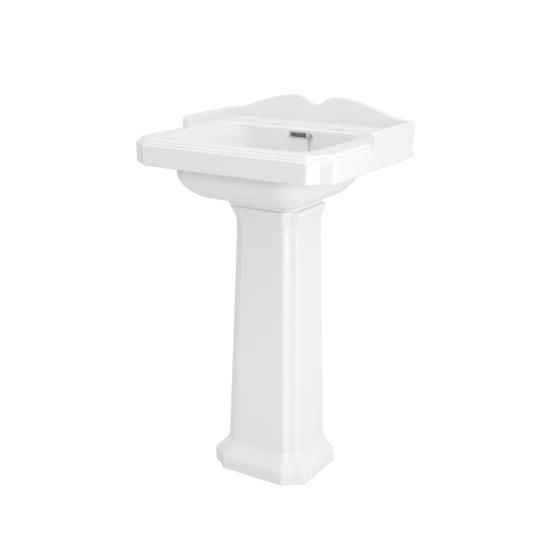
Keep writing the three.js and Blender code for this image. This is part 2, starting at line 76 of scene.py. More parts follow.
def middle(node):
    low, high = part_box(node)
    return in_tenths((low + high) / 2)


def mount_place(name):
    mounts = {mount["name"]: mount["pos_m"] for mount in frame["record"]["mounts"]}
    return in_tenths(mounts[name])


BASIN_LOW, BASIN_HIGH = (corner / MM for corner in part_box("basin"))
HALF_WIDTH = BASIN_HIGH.x
FRONT = BASIN_LOW.y
REAR = BASIN_HIGH.y
PEDESTAL_REAR = in_tenths(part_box("pedestal")[1])[1]
TAP_X, _, DECK_Z = mount_place("tap_seat_right")
WASTE_Y = middle("waste_body")[1]
STAY_X, _, STAY_Z = middle("stay_bolt")
OVERFLOW_Z = middle("overflow_grid")[2]
TRAP_OUTLET_Z = middle("outlet_pipe")[2]
WALL_FIXING_X, _, WALL_FIXING_Z = middle("wall_stud_right")
FLOOR_FIXING_X, FLOOR_FIXING_Y, _ = middle("floor_screw_right")

# ---- Plan and section of the basin, in millimetres ----

CANT_X = 50.0
CANT_Y = 38.0
CANT_HOLLOW = 0.07
DECK_UNDERSIDE_Z = 851.0
BAND_THICKNESS = 12.0
BAND_EDGE_TOP = 810.0
UPSTAND_FRONT = 2.0
UPSTAND_TOP = 887.0
UPSTAND_THICKNESS = 15.0
UPSTAND_CORNER = 11.0
BACKSPLASH_THICKNESS = 14.0
TAP_Y = 155.0

# Right half of the scalloped top edge, from the shoulder to the dip at the centre.
SCALLOP = (
    (246.0, 887.0),
    (216.0, 893.2),
    (180.0, 906.1),
    (142.0, 918.6),
    (104.0, 927.0),
    (62.0, 931.4),
    (40.0, 928.5),
    (22.0, 918.5),
    (6.0, 910.0),
)

# Stations across the rear edge, and along the side return behind its front face.
REAR_STATIONS = (
    246, 238, 229, 220, 210, 199, 188, 176, 163, 150, 137, 124, 111, 98, 86, 74, 66, 60, 54,
    48, 42, 37, 32, 28, 24, 20.5, 17, 14, 11, 8.5, 6.4, 5, 3, 0,
)
RETURN_STATIONS = (2.5, 3.2, 4.3, 5.8, 7.8, 10.2, 13, 20, 36, 56, 78, 100, 122, 144, 165, 182, 196)
ARRIS_STEPS = 4
VALLEY_STEPS = 3
FACET_STEPS = 2
FRONT_STEPS = 10
SIDE_STEPS = 9
RETURN_FACE_DEPTH = 0.4
REAR_CORNER_STEPS = 6


# ---- Settings ----


class ChinaSettings(bpy.types.PropertyGroup):
    colour: bpy.props.FloatVectorProperty(
        name="China",
        description="Colour of the fired glaze",
        subtype="COLOR",
        size=3,
        min=0,
        max=1,
        default=(0.88, 0.88, 0.876),
    )
    glaze_roughness: bpy.props.FloatProperty(
        name="Glaze Roughness",
        description="Roughness of the glaze, 0 for a mirror",
        min=0,
        max=1,
        default=0.13,
    )


class ChainSettings(bpy.types.PropertyGroup):
    bead_diameter: bpy.props.FloatProperty(
        name="Bead Diameter",
        description="Diameter of one chain bead",
        unit="LENGTH",
        default=0.0032,
    )
    bead_pitch: bpy.props.FloatProperty(
        name="Bead Pitch",
        description="Distance between neighbouring beads along the chain",
        unit="LENGTH",
        default=0.0041,
    )


class FittingSettings(bpy.types.PropertyGroup):
    chrome_colour: bpy.props.FloatVectorProperty(
        name="Chrome",
        description="Colour of the plated fittings",
        subtype="COLOR",
        size=3,
        min=0,
        max=1,
        default=(0.60, 0.61, 0.62),
    )
    plastic_colour: bpy.props.FloatVectorProperty(
        name="Plastic",
        description="Colour of the trap and its pipe",
        subtype="COLOR",
        size=3,
        min=0,
        max=1,
        default=(0.78, 0.78, 0.77),
    )


class StudioSettings(bpy.types.PropertyGroup):
    surround: bpy.props.FloatProperty(
        name="Surround",
        description="Brightness of the white surroundings that light the basin",
        min=0,
        default=0.78,
    )
    side_power: bpy.props.FloatProperty(
        name="Side Light",
        description="Power of the tall soft light beside the basin on the right",
        unit="POWER",
        min=0,
        default=21.0,
    )
    top_power: bpy.props.FloatProperty(
        name="Top Light",
        description="Power of the large soft light overhead",
        unit="POWER",
        min=0,
        default=12.0,
    )


class SinkSettings(bpy.types.PropertyGroup):
    china: bpy.props.PointerProperty(type=ChinaSettings)
    chain: bpy.props.PointerProperty(type=ChainSettings)
    fittings: bpy.props.PointerProperty(type=FittingSettings)
    studio: bpy.props.PointerProperty(type=StudioSettings)


def settings():
    return bpy.context.scene.pedestal_sink


# ---- Finishes ----


def new_material(name):
    material = bpy.data.materials.new(name)
    material.use_nodes = True
    nodes = material.node_tree.nodes
    return material, nodes, material.node_tree.links, nodes["Principled BSDF"]


def object_noise(nodes, links, scale, detail=2.0, stretch=(1, 1, 1)):
    """Noise on the piece's own coordinates; the scale is in features per metre."""
    coordinates = nodes.new("ShaderNodeTexCoord")
    mapping = nodes.new("ShaderNodeMapping")
    mapping.inputs["Scale"].default_value = stretch
    noise = nodes.new("ShaderNodeTexNoise")
    noise.inputs["Scale"].default_value = scale
    noise.inputs["Detail"].default_value = detail
    links.new(coordinates.outputs["Object"], mapping.inputs["Vector"])
    links.new(mapping.outputs["Vector"], noise.inputs["Vector"])
    return noise.outputs["Fac"]


def spread(nodes, links, value, low, high, start=0.3, end=0.7):
    ranged = nodes.new("ShaderNodeMapRange")
    ranged.inputs["From Min"].default_value = start
    ranged.inputs["From Max"].default_value = end
    ranged.inputs["To Min"].default_value = low
    ranged.inputs["To Max"].default_value = high
    links.new(value, ranged.inputs["Value"])
    return ranged.outputs["Result"]


def two_tone(nodes, links, value, first, second):
    mix = nodes.new("ShaderNodeMix")
    mix.data_type = "RGBA"
    mix.inputs["A"].default_value = (*first, 1)
    mix.inputs["B"].default_value = (*second, 1)
    links.new(value, mix.inputs["Factor"])
    return mix.outputs["Result"]


def add_bump(nodes, links, shader, heights):
    """Stack of bumps, each a height value with its depth in metres."""
    previous = None
    for value, depth in heights:
        bump = nodes.new("ShaderNodeBump")
        bump.inputs["Strength"].default_value = 1.0
        bump.inputs["Distance"].default_value = depth
        links.new(value, bump.inputs["Height"])
        if previous is not None:
            links.new(previous, bump.inputs["Normal"])
        previous = bump.outputs["Normal"]
    links.new(previous, shader.inputs["Normal"])


def shaded(colour, amount):
    return tuple(channel * amount for channel in colour)


def china_finish(name):
    """White vitreous china: a clear glaze with faint waves over a slightly uneven body."""
    material, nodes, links, shader = new_material(name)
    colour = tuple(settings().china.colour)
    rough = settings().china.glaze_roughness
    clouds = spread(nodes, links, object_noise(nodes, links, 5.0, 3.0), 0, 1)
    warm = (colour[0] * 0.985, colour[1] * 0.985, colour[2] * 0.975)
    links.new(two_tone(nodes, links, clouds, colour, warm), shader.inputs["Base Color"])
    film = object_noise(nodes, links, 22.0, 4.0)
    links.new(spread(nodes, links, film, rough * 0.8, rough * 1.35), shader.inputs["Roughness"])
    waves = object_noise(nodes, links, 14.0, 1.0)
    pits = object_noise(nodes, links, 420.0, 2.0)
    pinholes = spread(nodes, links, pits, 0, 1, 0.66, 0.72)
    add_bump(nodes, links, shader, ((waves, 0.00035), (pinholes, -0.00001)))
    shader.inputs["Coat Weight"].default_value = 0.35
    shader.inputs["Coat Roughness"].default_value = 0.04
    shader.inputs["IOR"].default_value = 1.5
    return material


def metal_finish(name, colour, rough, grain, depth, stretch=(1, 1, 1)):
    """Plated or bare metal with fine grain, cloudy tarnish and small changes of gloss."""
    material, nodes, links, shader = new_material(name)
    clouds = spread(nodes, links, object_noise(nodes, links, 90.0, 4.0), 0, 1)
    tone = two_tone(nodes, links, clouds, colour, shaded(colour, 0.86))
    links.new(tone, shader.inputs["Base Color"])
    smears = object_noise(nodes, links, 240.0, 3.0)
    links.new(spread(nodes, links, smears, rough * 0.7, rough * 1.5), shader.inputs["Roughness"])
    add_bump(nodes, links, shader, ((object_noise(nodes, links, grain, 2.0, stretch), depth),))
    shader.inputs["Metallic"].default_value = 1.0
    return material


def moulded_finish(name, colour, rough, grain, depth, other=0.93):
    """Plastic, rubber or sealant: matt to satin, faintly mottled, with a fine moulded grain."""
    material, nodes, links, shader = new_material(name)
    mottle = spread(nodes, links, object_noise(nodes, links, 60.0, 3.0), 0, 1)
    tone = two_tone(nodes, links, mottle, colour, shaded(colour, other))
    links.new(tone, shader.inputs["Base Color"])
    gloss = object_noise(nodes, links, 130.0, 3.0)
    links.new(spread(nodes, links, gloss, rough * 0.85, rough * 1.2), shader.inputs["Roughness"])
    heights = ((object_noise(nodes, links, grain, 2.0), depth), (mottle, depth * 2))
    add_bump(nodes, links, shader, heights)
    return material


def chrome_finish(name):
    return metal_finish(name, settings().fittings.chrome_colour, 0.13, 900, 0.000008)


def brass_finish(name):
    return metal_finish(name, (0.50, 0.34, 0.13), 0.34, 1400, 0.00003)


def zinc_finish(name):
    return metal_finish(name, (0.44, 0.45, 0.46), 0.38, 1100, 0.00003, (1, 1, 4))


def rubber_finish(name):
    return moulded_finish(name, (0.017, 0.017, 0.018), 0.7, 900, 0.00005, 1.5)


def plastic_finish(name):
    return moulded_finish(name, tuple(settings().fittings.plastic_colour), 0.38, 700, 0.00002)


def sealant_finish(name):
    return moulded_finish(name, (0.85, 0.85, 0.84), 0.45, 260, 0.00004)


FINISHES = {
    "white_china": china_finish,
    "chrome": chrome_finish,
    "brass": brass_finish,
    "zinc_steel": zinc_finish,
    "black_rubber": rubber_finish,
    "white_plastic": plastic_finish,
    "white_sealant": sealant_finish,
}


def finish_for(slot):
    """The finish of one of the record's slots, made on first use."""
    name = "finish_" + slot
    return bpy.data.materials.get(name) or FINISHES[slot](name)


# ---- Mesh helpers, all in millimetres ----


def loft(rings, closed=False):
    """Skin over rings with the same number of points, bridged one to the next."""
    mesh = bmesh.new()
    loops = []
    for ring in rings:
        points = [mesh.verts.new(point) for point in ring]
        loops.append([mesh.edges.new(pair) for pair in zip(points, points[1:] + points[:1])])
    following = loops[1:] + loops[:1] if closed else loops[1:]
    for lower, upper in zip(loops, following):
        bmesh.ops.bridge_loops(mesh, edges=lower + upper)
    if not closed:
        for end in (loops[0], loops[-1]):
            bmesh.ops.edgeloop_fill(mesh, edges=end)
    bmesh.ops.recalc_face_normals(mesh, faces=mesh.faces)
    return mesh


def turn_to_y(mesh, x, z):
    """Lays a piece made upright about the origin along +Y, through (x, z)."""
    bmesh.ops.rotate(mesh, verts=mesh.verts, matrix=Matrix.Rotation(-math.pi / 2, 3, "X"))
    bmesh.ops.translate(mesh, verts=mesh.verts, vec=(x, 0, z))
    return mesh


def lathe(profile, steps=56, centre=(0, 0), along_y=False):
    """Turned solid from [radius, height] corners, closed on itself where it is off the axis."""
    mesh = bmesh.new()
    points = [mesh.verts.new((radius, 0, height)) for radius, height in profile]
    pairs = list(zip(points, points[1:]))
    if profile[0][0] > 0:
        pairs.append((points[-1], points[0]))
    outline = [mesh.edges.new(pair) for pair in pairs]
    bmesh.ops.spin(
        mesh,
        geom=points + outline,
        axis=(0, 0, 1),
        cent=(0, 0, 0),
        angle=2 * math.pi,
        steps=steps,
        use_merge=True,
    )
    bmesh.ops.remove_doubles(mesh, verts=mesh.verts, dist=0.0005)
    bmesh.ops.recalc_face_normals(mesh, faces=mesh.faces)
    if along_y:
        return turn_to_y(mesh, *centre)
    bmesh.ops.translate(mesh, verts=mesh.verts, vec=(*centre, 0))
    return mesh


def box_between(low, high):
    mesh = bmesh.new()
    bmesh.ops.create_cube(mesh, size=1)
    size = Vector(high) - Vector(low)
    bmesh.ops.scale(mesh, verts=mesh.verts, vec=size)
    bmesh.ops.translate(mesh, verts=mesh.verts, vec=(Vector(low) + Vector(high)) / 2)
    return mesh


def round_uprights(box, offset, segments):
    """Rounds a box's upright edges."""
    bmesh.ops.bevel(
        box,
        geom=[e for e in box.edges if abs(e.verts[0].co.z - e.verts[1].co.z) > 1],
        offset=offset,
        segments=segments,
        profile=0.5,
        affect="EDGES",
        material=-1,
    )
    return box


def add_to(mesh, *others):
    """Puts the other meshes into the first one."""
    for other in others:
        spare = bpy.data.meshes.new("spare")
        other.to_mesh(spare)
        other.free()
        mesh.from_mesh(spare)
        bpy.data.meshes.remove(spare)
    return mesh


def combine(mesh, operation, tool):
    """Adds the tool to the mesh or takes it away."""
    holders = []
    for source in (mesh, tool):
        data = bpy.data.meshes.new("working")
        source.to_mesh(data)
        source.free()
        holder = bpy.data.objects.new("working", data)
        bpy.context.scene.collection.objects.link(holder)
        holders.append(holder)
    modifier = holders[0].modifiers.new("combine", "BOOLEAN")
    modifier.operation = operation
    modifier.solver = "EXACT"
    modifier.object = holders[1]
    bpy.context.view_layer.update()
    evaluated = holders[0].evaluated_get(bpy.context.evaluated_depsgraph_get())
    result = bmesh.new()
    result.from_mesh(evaluated.to_mesh())
    evaluated.to_mesh_clear()
    for holder in holders:
        data = holder.data
        bpy.data.objects.remove(holder)
        bpy.data.meshes.remove(data)
    bmesh.ops.remove_doubles(result, verts=result.verts, dist=0.002)
    bmesh.ops.dissolve_degenerate(result, edges=result.edges, dist=0.002)
    return result


def make_piece(name, mesh, slot, body, nodes, sharp=35.0, bevel=0.0):
    """Finishes a mesh in millimetres as a piece of the object that stands for the named nodes."""
    bmesh.ops.scale(mesh, verts=mesh.verts, vec=(MM, MM, MM))
    data = bpy.data.meshes.new(name)
    mesh.to_mesh(data)
    mesh.free()
    data.shade_smooth()
    data.set_sharp_from_angle(angle=math.radians(sharp))
    piece = bpy.data.objects.new(name, data)
    bpy.context.scene.collection.objects.link(piece)
    data.materials.append(finish_for(slot))
    if bevel:
        rounding = piece.modifiers.new("rounded edges", "BEVEL")
        rounding.width = bevel * MM
        rounding.segments = 2
        rounding.limit_method = "ANGLE"
        rounding.angle_limit = math.radians(sharp)
        rounding.harden_normals = False
    weighting = piece.modifiers.new("even shading", "WEIGHTED_NORMAL")
    weighting.keep_sharp = True
    if body is not None:
        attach(piece, body)
    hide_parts(*nodes)
    return piece


def smooth_run(stops, steps):
    """Smooth curve through rows of numbers, with a few steps from each row to the next."""
    rows = []
    count = len(stops)
    for i in range(count - 1):
        before = stops[max(i - 1, 0)]
        after = stops[min(i + 2, count - 1)]
        for k in range(steps):
            t = k / steps
            rows.append(tuple(
                0.5 * (2 * b + (c - a) * t + (2 * a - 5 * b + 4 * c - d) * t * t
                       + (3 * b - a - 3 * c + d) * t ** 3)
                for a, b, c, d in zip(before, stops[i], stops[i + 1], after)
            ))
    rows.append(tuple(stops[-1]))
    return rows


# ---- Plan outlines: right half, from the front centre round to the rear centre ----


def corner_curve(before, corner, after, reach, steps):
    """Rounded corner as a quadratic curve that starts and ends the given reach from the corner."""
    before, corner, after = Vector(before), Vector(corner), Vector(after)
    start = corner + (before - corner).normalized() * reach
    end = corner + (after - corner).normalized() * reach
    curve = []
    for i in range(steps):
        t = i / (steps - 1)
        curve.append(start * (1 - t) ** 2 + corner * (2 * t * (1 - t)) + end * t * t)
    return [(point.x, point.y) for point in curve]


def between(start, end, steps):
    """Evenly spaced points after the start and before the end."""
    return [
        (
            start[0] + (end[0] - start[0]) * (i + 1) / (steps + 1),
            start[1] + (end[1] - start[1]) * (i + 1) / (steps + 1),
        )
        for i in range(steps)
    ]


def canted_front(half_width, front, cant_x, cant_y, inset, arris):
    """Front edge and hollow canted corner, up to the start of the side."""
    shrink = inset * (cant_x + cant_y - math.hypot(cant_x, cant_y))
    a = cant_x - shrink / cant_y
    b = cant_y - shrink / cant_x
    w = half_width - inset
    f = front + inset
    first = (w - a, f)
    valley = (w - a / 2 - CANT_HOLLOW * b, f + b / 2 + CANT_HOLLOW * a)
    second = (w, f + b)
    start = corner_curve((0, f), first, valley, arris, ARRIS_STEPS)
    middle = corner_curve(first, valley, second, arris * 0.6, VALLEY_STEPS)
    end = corner_curve(valley, second, (w, f + b + 50), arris, ARRIS_STEPS)
    return [
        (0, f),
        *between((0, f), start[0], FRONT_STEPS),
        *start,
        *between(start[-1], middle[0], FACET_STEPS),
        *middle,
        *between(middle[-1], end[0], FACET_STEPS),
        *end,
    ]


CORNER_POINTS = 2 * ARRIS_STEPS + VALLEY_STEPS + 2 * FACET_STEPS
STEP_STATION = 1 + FRONT_STEPS + CORNER_POINTS + SIDE_STEPS


def side_heights(start, meet, end):
    """Places along the side: up to the return's face, two close together at it, and the rest."""
    ahead = meet - RETURN_FACE_DEPTH
    forward = [start + (ahead - start) * (i + 1) / (SIDE_STEPS + 1) for i in range(SIDE_STEPS)]
    full = REAR - 12 - UPSTAND_FRONT
    behind = [meet + (y - UPSTAND_FRONT) * (end - meet) / full for y in RETURN_STATIONS]
    return [*forward, ahead, meet, *behind]


def basin_outline(inset, rear_inset, arris=4.0, corner=3.0):
    """Right half of the basin's plan, pulled in at the front and sides, and at the rear."""
    points = canted_front(HALF_WIDTH, FRONT, CANT_X, CANT_Y, inset, arris)
    w = HALF_WIDTH - inset
    r = REAR - rear_inset
    sides = side_heights(points[-1][1], UPSTAND_FRONT, r - corner)
    points += [(w, y) for y in sides]
    points += corner_curve((w, 0), (w, r), (0, r), corner, REAR_CORNER_STEPS)
    scale = min(1.0, (w - corner) / (REAR_STATIONS[0] + 1))
    points += [(x * scale, r) for x in REAR_STATIONS]
    return points


def rounded_outline(half_width, front, rear, front_radius, rear_radius):
    """Right half of a plan with round corners, on the same stations as the basin's outline."""
    turn = front_radius
    arc_start = half_width - turn
    points = [(arc_start * i / (FRONT_STEPS + 1), front) for i in range(FRONT_STEPS + 1)]
    for i in range(CORNER_POINTS):
        angle = -math.pi / 2 + (math.pi / 2) * i / (CORNER_POINTS - 1)
        points.append((arc_start + turn * math.cos(angle), front + turn + turn * math.sin(angle)))
    low, high = front + turn, rear - rear_radius
    meet = min(max(UPSTAND_FRONT, low + 0.3 * (high - low)), high - 0.3 * (high - low))
    points += [(half_width, y) for y in side_heights(low, meet, high)]
    for i in range(REAR_CORNER_STEPS):
        angle = (math.pi / 2) * (i + 0.5) / REAR_CORNER_STEPS
        points.append((
            half_width - rear_radius + rear_radius * math.cos(angle),
            rear - rear_radius + rear_radius * math.sin(angle),
        ))
    scale = (half_width - rear_radius) / REAR_STATIONS[0]
    points += [(x * scale, rear) for x in REAR_STATIONS]
    return points


STATION_COUNT = len(basin_outline(0, 0))


def round_outline(radius):
    """Right half of a circle about the waste, on the same number of stations."""
    last = STATION_COUNT - 1
    return [
        (radius * math.sin(math.pi * i / last), WASTE_Y - radius * math.cos(math.pi * i / last))
        for i in range(STATION_COUNT)
    ]


def whole_ring(half, heights):
    """Both halves of a ring; heights is one number or one for each station."""
    if isinstance(heights, (int, float)):
        heights = [heights] * len(half)
    right = [(x, y, z) for (x, y), z in zip(half, heights)]
    left = [(-x, y, z) for x, y, z in reversed(right[1:-1])]
    return right + left


# ---- Basin ----


def scallop_heights():
    """Height of the top edge at each station from the return's front face to the rear centre."""
    heights = []
    for x, y in basin_outline(0, 0)[STEP_STATION + 1:]:
        if y < REAR - 0.5:
            rise = max(0.0, UPSTAND_FRONT + UPSTAND_CORNER - y)
            drop = UPSTAND_CORNER - math.sqrt(max(0.0, UPSTAND_CORNER ** 2 - rise ** 2))
            heights.append(UPSTAND_TOP - drop)
        else:
            heights.append(scallop_at(x))
    return heights


def scallop_at(x):
    if x >= SCALLOP[0][0]:
        return SCALLOP[0][1]
    if x <= SCALLOP[-1][0]:
        return SCALLOP[-1][1]
    line = smooth_run(SCALLOP, 8)
    for (x0, z0), (x1, z1) in zip(line, line[1:]):
        if x1 <= x <= x0:
            return z0 + (z1 - z0) * (x0 - x) / max(x0 - x1, 1e-6)
    return SCALLOP[-1][1]


# Rows from the inside of the band, round the band and moulding, to the deck. The first pair is
# the inset and height at the front. The second is the inset and height at the side returns, where
# a height below zero is a drop from the top edge.
RIM_ROWS = (
    (12.0, 804.0, 12.0, 804.0),
    (11.8, 799.4, 11.8, 799.4),
    (11.0, 797.8, 11.0, 797.8),
    (9.6, 797.2, 9.6, 797.2),
    (7.6, 797.0, 7.6, 797.0),
    (4.8, 797.1, 4.8, 797.1),
    (2.8, 797.7, 2.8, 797.7),
    (1.2, 798.9, 1.2, 798.9),
    (0.3, 800.6, 0.3, 800.6),
    (0.0, 802.8, 0.0, 802.8),
    (0.0, 826.0, 0.0, 826.0),
    (0.0, 843.6, 0.0, 843.6),
    (0.2, 845.4, 0.0, 851.0),
    (0.8, 846.5, 0.0, 859.0),
    (1.9, 847.2, 0.0, 867.0),
    (3.6, 847.7, 0.0, -3.2),
    (4.7, 848.3, 0.3, -1.7),
    (5.2, 849.4, 1.1, -0.6),
    (5.6, 851.0, 2.6, -0.1),
    (6.3, 852.3, 4.6, -0.01),
    (7.6, 853.0, 7.5, -0.01),
    (9.4, 853.4, 10.4, -0.01),
    (10.8, 853.9, 12.4, -0.1),
    (11.6, 854.8, 13.9, -0.6),
    (12.1, 856.4, 14.7, -1.7),
    (12.7, 858.2, 15.0, -3.2),
    (13.8, 859.7, 15.1, DECK_Z + 8.5),
    (15.4, 860.6, 15.6, DECK_Z + 5.0),
    (17.6, DECK_Z, 17.2, DECK_Z + 2.1),
    (20.5, DECK_Z, 20.0, DECK_Z + 0.5),
    (24.0, DECK_Z, 24.0, DECK_Z),
)

# Height, half width, front, rear, front radius and rear radius of the bowl's hollow.
BOWL_ROWS = (
    (856.0, 198.6, -178.5, 119.0, 52.6, 50.0),
    (843.0, 189.0, -174.0, 119.0, 51.0, 50.0),
    (815.0, 173.0, -168.0, 119.0, 50.0, 50.0),
    (785.0, 165.0, -163.0, 116.0, 50.0, 50.0),
    (755.0, 157.0, -153.0, 110.0, 50.0, 50.0),
    (736.0, 143.0, -135.0, 101.0, 50.0, 50.0),
    (724.0, 122.0, -110.0, 89.0, 48.0, 48.0),
    (716.0, 92.0, -78.0, 72.0, 44.0, 44.0),
    (712.0, 62.0, -44.0, 54.0, 38.0, 38.0),
)

# Share of the way from the upright body to the flat on the pedestal, at each height.
BODY_ROWS = (
    (691.0, 1.0),
    (697.0, 0.978),
    (705.0, 0.905),
    (717.0, 0.49),
    (732.0, 0.27),
    (750.0, 0.108),
    (772.0, 0.011),
    (800.0, 0.0),
)
BODY_TOP_Z = BODY_ROWS[-1][0]
BODY_RIM = (216.0, -199.0, 175.0, 66.0, 56.0)
BODY_TOP = (173.0, -189.0, 175.0, 54.0, 60.0)
BODY_BOTTOM = (97.0, -66.0, 86.0, 30.0, 24.0)


def mixed(first, second, amount):
    return [a + (b - a) * amount for a, b in zip(first, second)]


def grown(plan, amount):
    half_width, front, rear, front_radius, rear_radius = plan
    return (
        half_width + amount,
        front - amount,
        rear + amount,
        front_radius + amount,
        rear_radius + amount,
    )


def body_rings():
    """Outside of the bowl, from the boss round the waste up to the space under the rim."""
    boss = (
        (23.2, 684.0), (36.4, 684.0), (37.6, 684.5), (38.0, 685.8), (38.0, 689.6), (38.9, 690.8),
    )
    rings = [whole_ring(round_outline(radius), z) for radius, z in boss]
    rings.append(whole_ring(rounded_outline(*grown(BODY_BOTTOM, -8)), 691.0))
    rings.append(whole_ring(rounded_outline(*grown(BODY_BOTTOM, -1.2)), 691.0))
    for z, amount in smooth_run(BODY_ROWS, 3)[1:]:
        rings.append(whole_ring(rounded_outline(*mixed(BODY_TOP, BODY_BOTTOM, amount)), z))
    for z in (810.0, 820.0, 831.0, 841.0):
        plan = mixed(BODY_TOP, BODY_RIM, (z - BODY_TOP_Z) / (DECK_UNDERSIDE_Z - BODY_TOP_Z))
        rings.append(whole_ring(rounded_outline(*plan), z))
    under_rim = mixed(BODY_TOP, BODY_RIM, 0.9)
    for out, z in ((1.0, 847.4), (2.6, 849.8), (5.0, DECK_UNDERSIDE_Z)):
        rings.append(whole_ring(rounded_outline(*grown(under_rim, out)), z))
    return rings


def wall_inset(inset, z):
    """How far a rim row is pulled in at the wall, where the edge below the band is flat."""
    if z >= BAND_EDGE_TOP:
        return inset * BACKSPLASH_THICKNESS / UPSTAND_THICKNESS
    if inset > 7.5:
        return inset * BACKSPLASH_THICKNESS / BAND_THICKNESS
    return 0.0


def rim_rings():
    """Space under the rim, band, moulding, side returns and backsplash."""
    rings = []
    for inset, z in ((17.0, DECK_UNDERSIDE_Z), (13.6, 849.6), (BAND_THICKNESS, 846.0)):
        rings.append(whole_ring(basin_outline(inset, inset + 2, 3.0, 4.0), z))
    tops = scallop_heights()
    split = STEP_STATION + 1
    for front_inset, front_z, rear_inset, rear_z in RIM_ROWS:
        at_wall = wall_inset(rear_inset, front_z)
        corner = 3.0 if rear_inset < 8 else 9.0
        front = basin_outline(front_inset, at_wall, 4.0, corner)
        rear = basin_outline(rear_inset, at_wall, 4.0, corner)
        heights = [front_z] * split
        for top in tops:
            heights.append(top + rear_z if rear_z < 0 else min(rear_z, top - 3.4))
        rings.append(whole_ring(front[:split] + rear[split:], heights))
    return rings


def bowl_rings():
    """Lip, hollow, recess and hole for the waste."""
    rings = []
    lip = BOWL_ROWS[0][1:]
    for out, drop in ((6.4, 0.0), (4.6, 0.2), (2.9, 0.8), (1.4, 1.9), (0.4, 3.3)):
        rings.append(whole_ring(rounded_outline(*grown(lip, out)), DECK_Z - drop))
    for z, *plan in smooth_run(BOWL_ROWS, 4):
        rings.append(whole_ring(rounded_outline(*plan), z))
    hole = (
        (36.0, 712.0), (34.6, 711.6), (34.0, 710.6), (34.0, 708.6), (33.4, 708.0), (23.4, 708.0),
        (22.5, 707.2), (22.5, 684.8),
    )
    rings += [whole_ring(round_outline(radius), z) for radius, z in hole]
    return rings


def tap_hole_tool(side):
    lip = ((17.5, -2.4), (17.8, -1.2), (18.6, -0.3), (20.2, 0.3), (20.2, 4.0))
    lip = [(radius, DECK_Z + rise) for radius, rise in lip]
    return lathe(((0, 835), (17.5, 835), *lip, (0, DECK_Z + 4)), 48, (side * TAP_X, TAP_Y))


def rounded_rectangle(left, right, low, high, radius, steps=5):
    """Closed outline of a rectangle with round corners."""
    corners = [(right, low), (right, high), (left, high), (left, low)]
    outline = []
    for i in range(4):
        outline += corner_curve(corners[i - 1], corners[i], corners[(i + 1) % 4], radius, steps)
    return outline


def service_pocket_tool():
    """Space behind the bowl for the taps' shanks, beside the overflow's upright duct."""
    rows = (
        (84, 703), (110, 712), (133, 726), (153, 743), (167, 768), (170, 810),
        (170, DECK_UNDERSIDE_Z),
    )
    rings = []
    for half_width, z in rows:
        outline = rounded_rectangle(-half_width, half_width, 134.0, REAR - 14, 6.0)
        rings.append([(x, y, z) for x, y in outline])
    duct = round_uprights(box_between((-26, 120, 690), (26, 150, 860)), 4, 4)
    return combine(loft(rings), "DIFFERENCE", duct)


def basin_mesh():
    casting = loft(body_rings() + rim_rings() + bowl_rings(), closed=True)
    holes = add_to(
        service_pocket_tool(),
        tap_hole_tool(-1),
        tap_hole_tool(1),
        box_between((-20, 110, 837.5), (20, 136, 849.5)),
        lathe(((0, 110), (3.8, 110), (3.8, 140), (0, 140)), 24, (STAY_X, STAY_Z), True),
        *(
            lathe(((0, 200), (8, 200), (8, 230), (0, 230)), 32, (x, WALL_FIXING_Z), True)
            for x in (-WALL_FIXING_X, WALL_FIXING_X)
        ),
    )
    casting = combine(casting, "DIFFERENCE", holes)
    return combine(casting, "DIFFERENCE", box_between((-20, 134, 697), (20, 142, 849.5)))


# ---- Pedestal ----

PLINTH = (135.0, -101.0, 47.0, 34.0)
SHAFT_BOTTOM = (103.0, -71.0, 29.0, 22.0)
SHAFT_TOP = (88.0, -49.0, 29.0, 22.0)
CAPITAL = (101.0, -65.0, 36.0, 28.0)

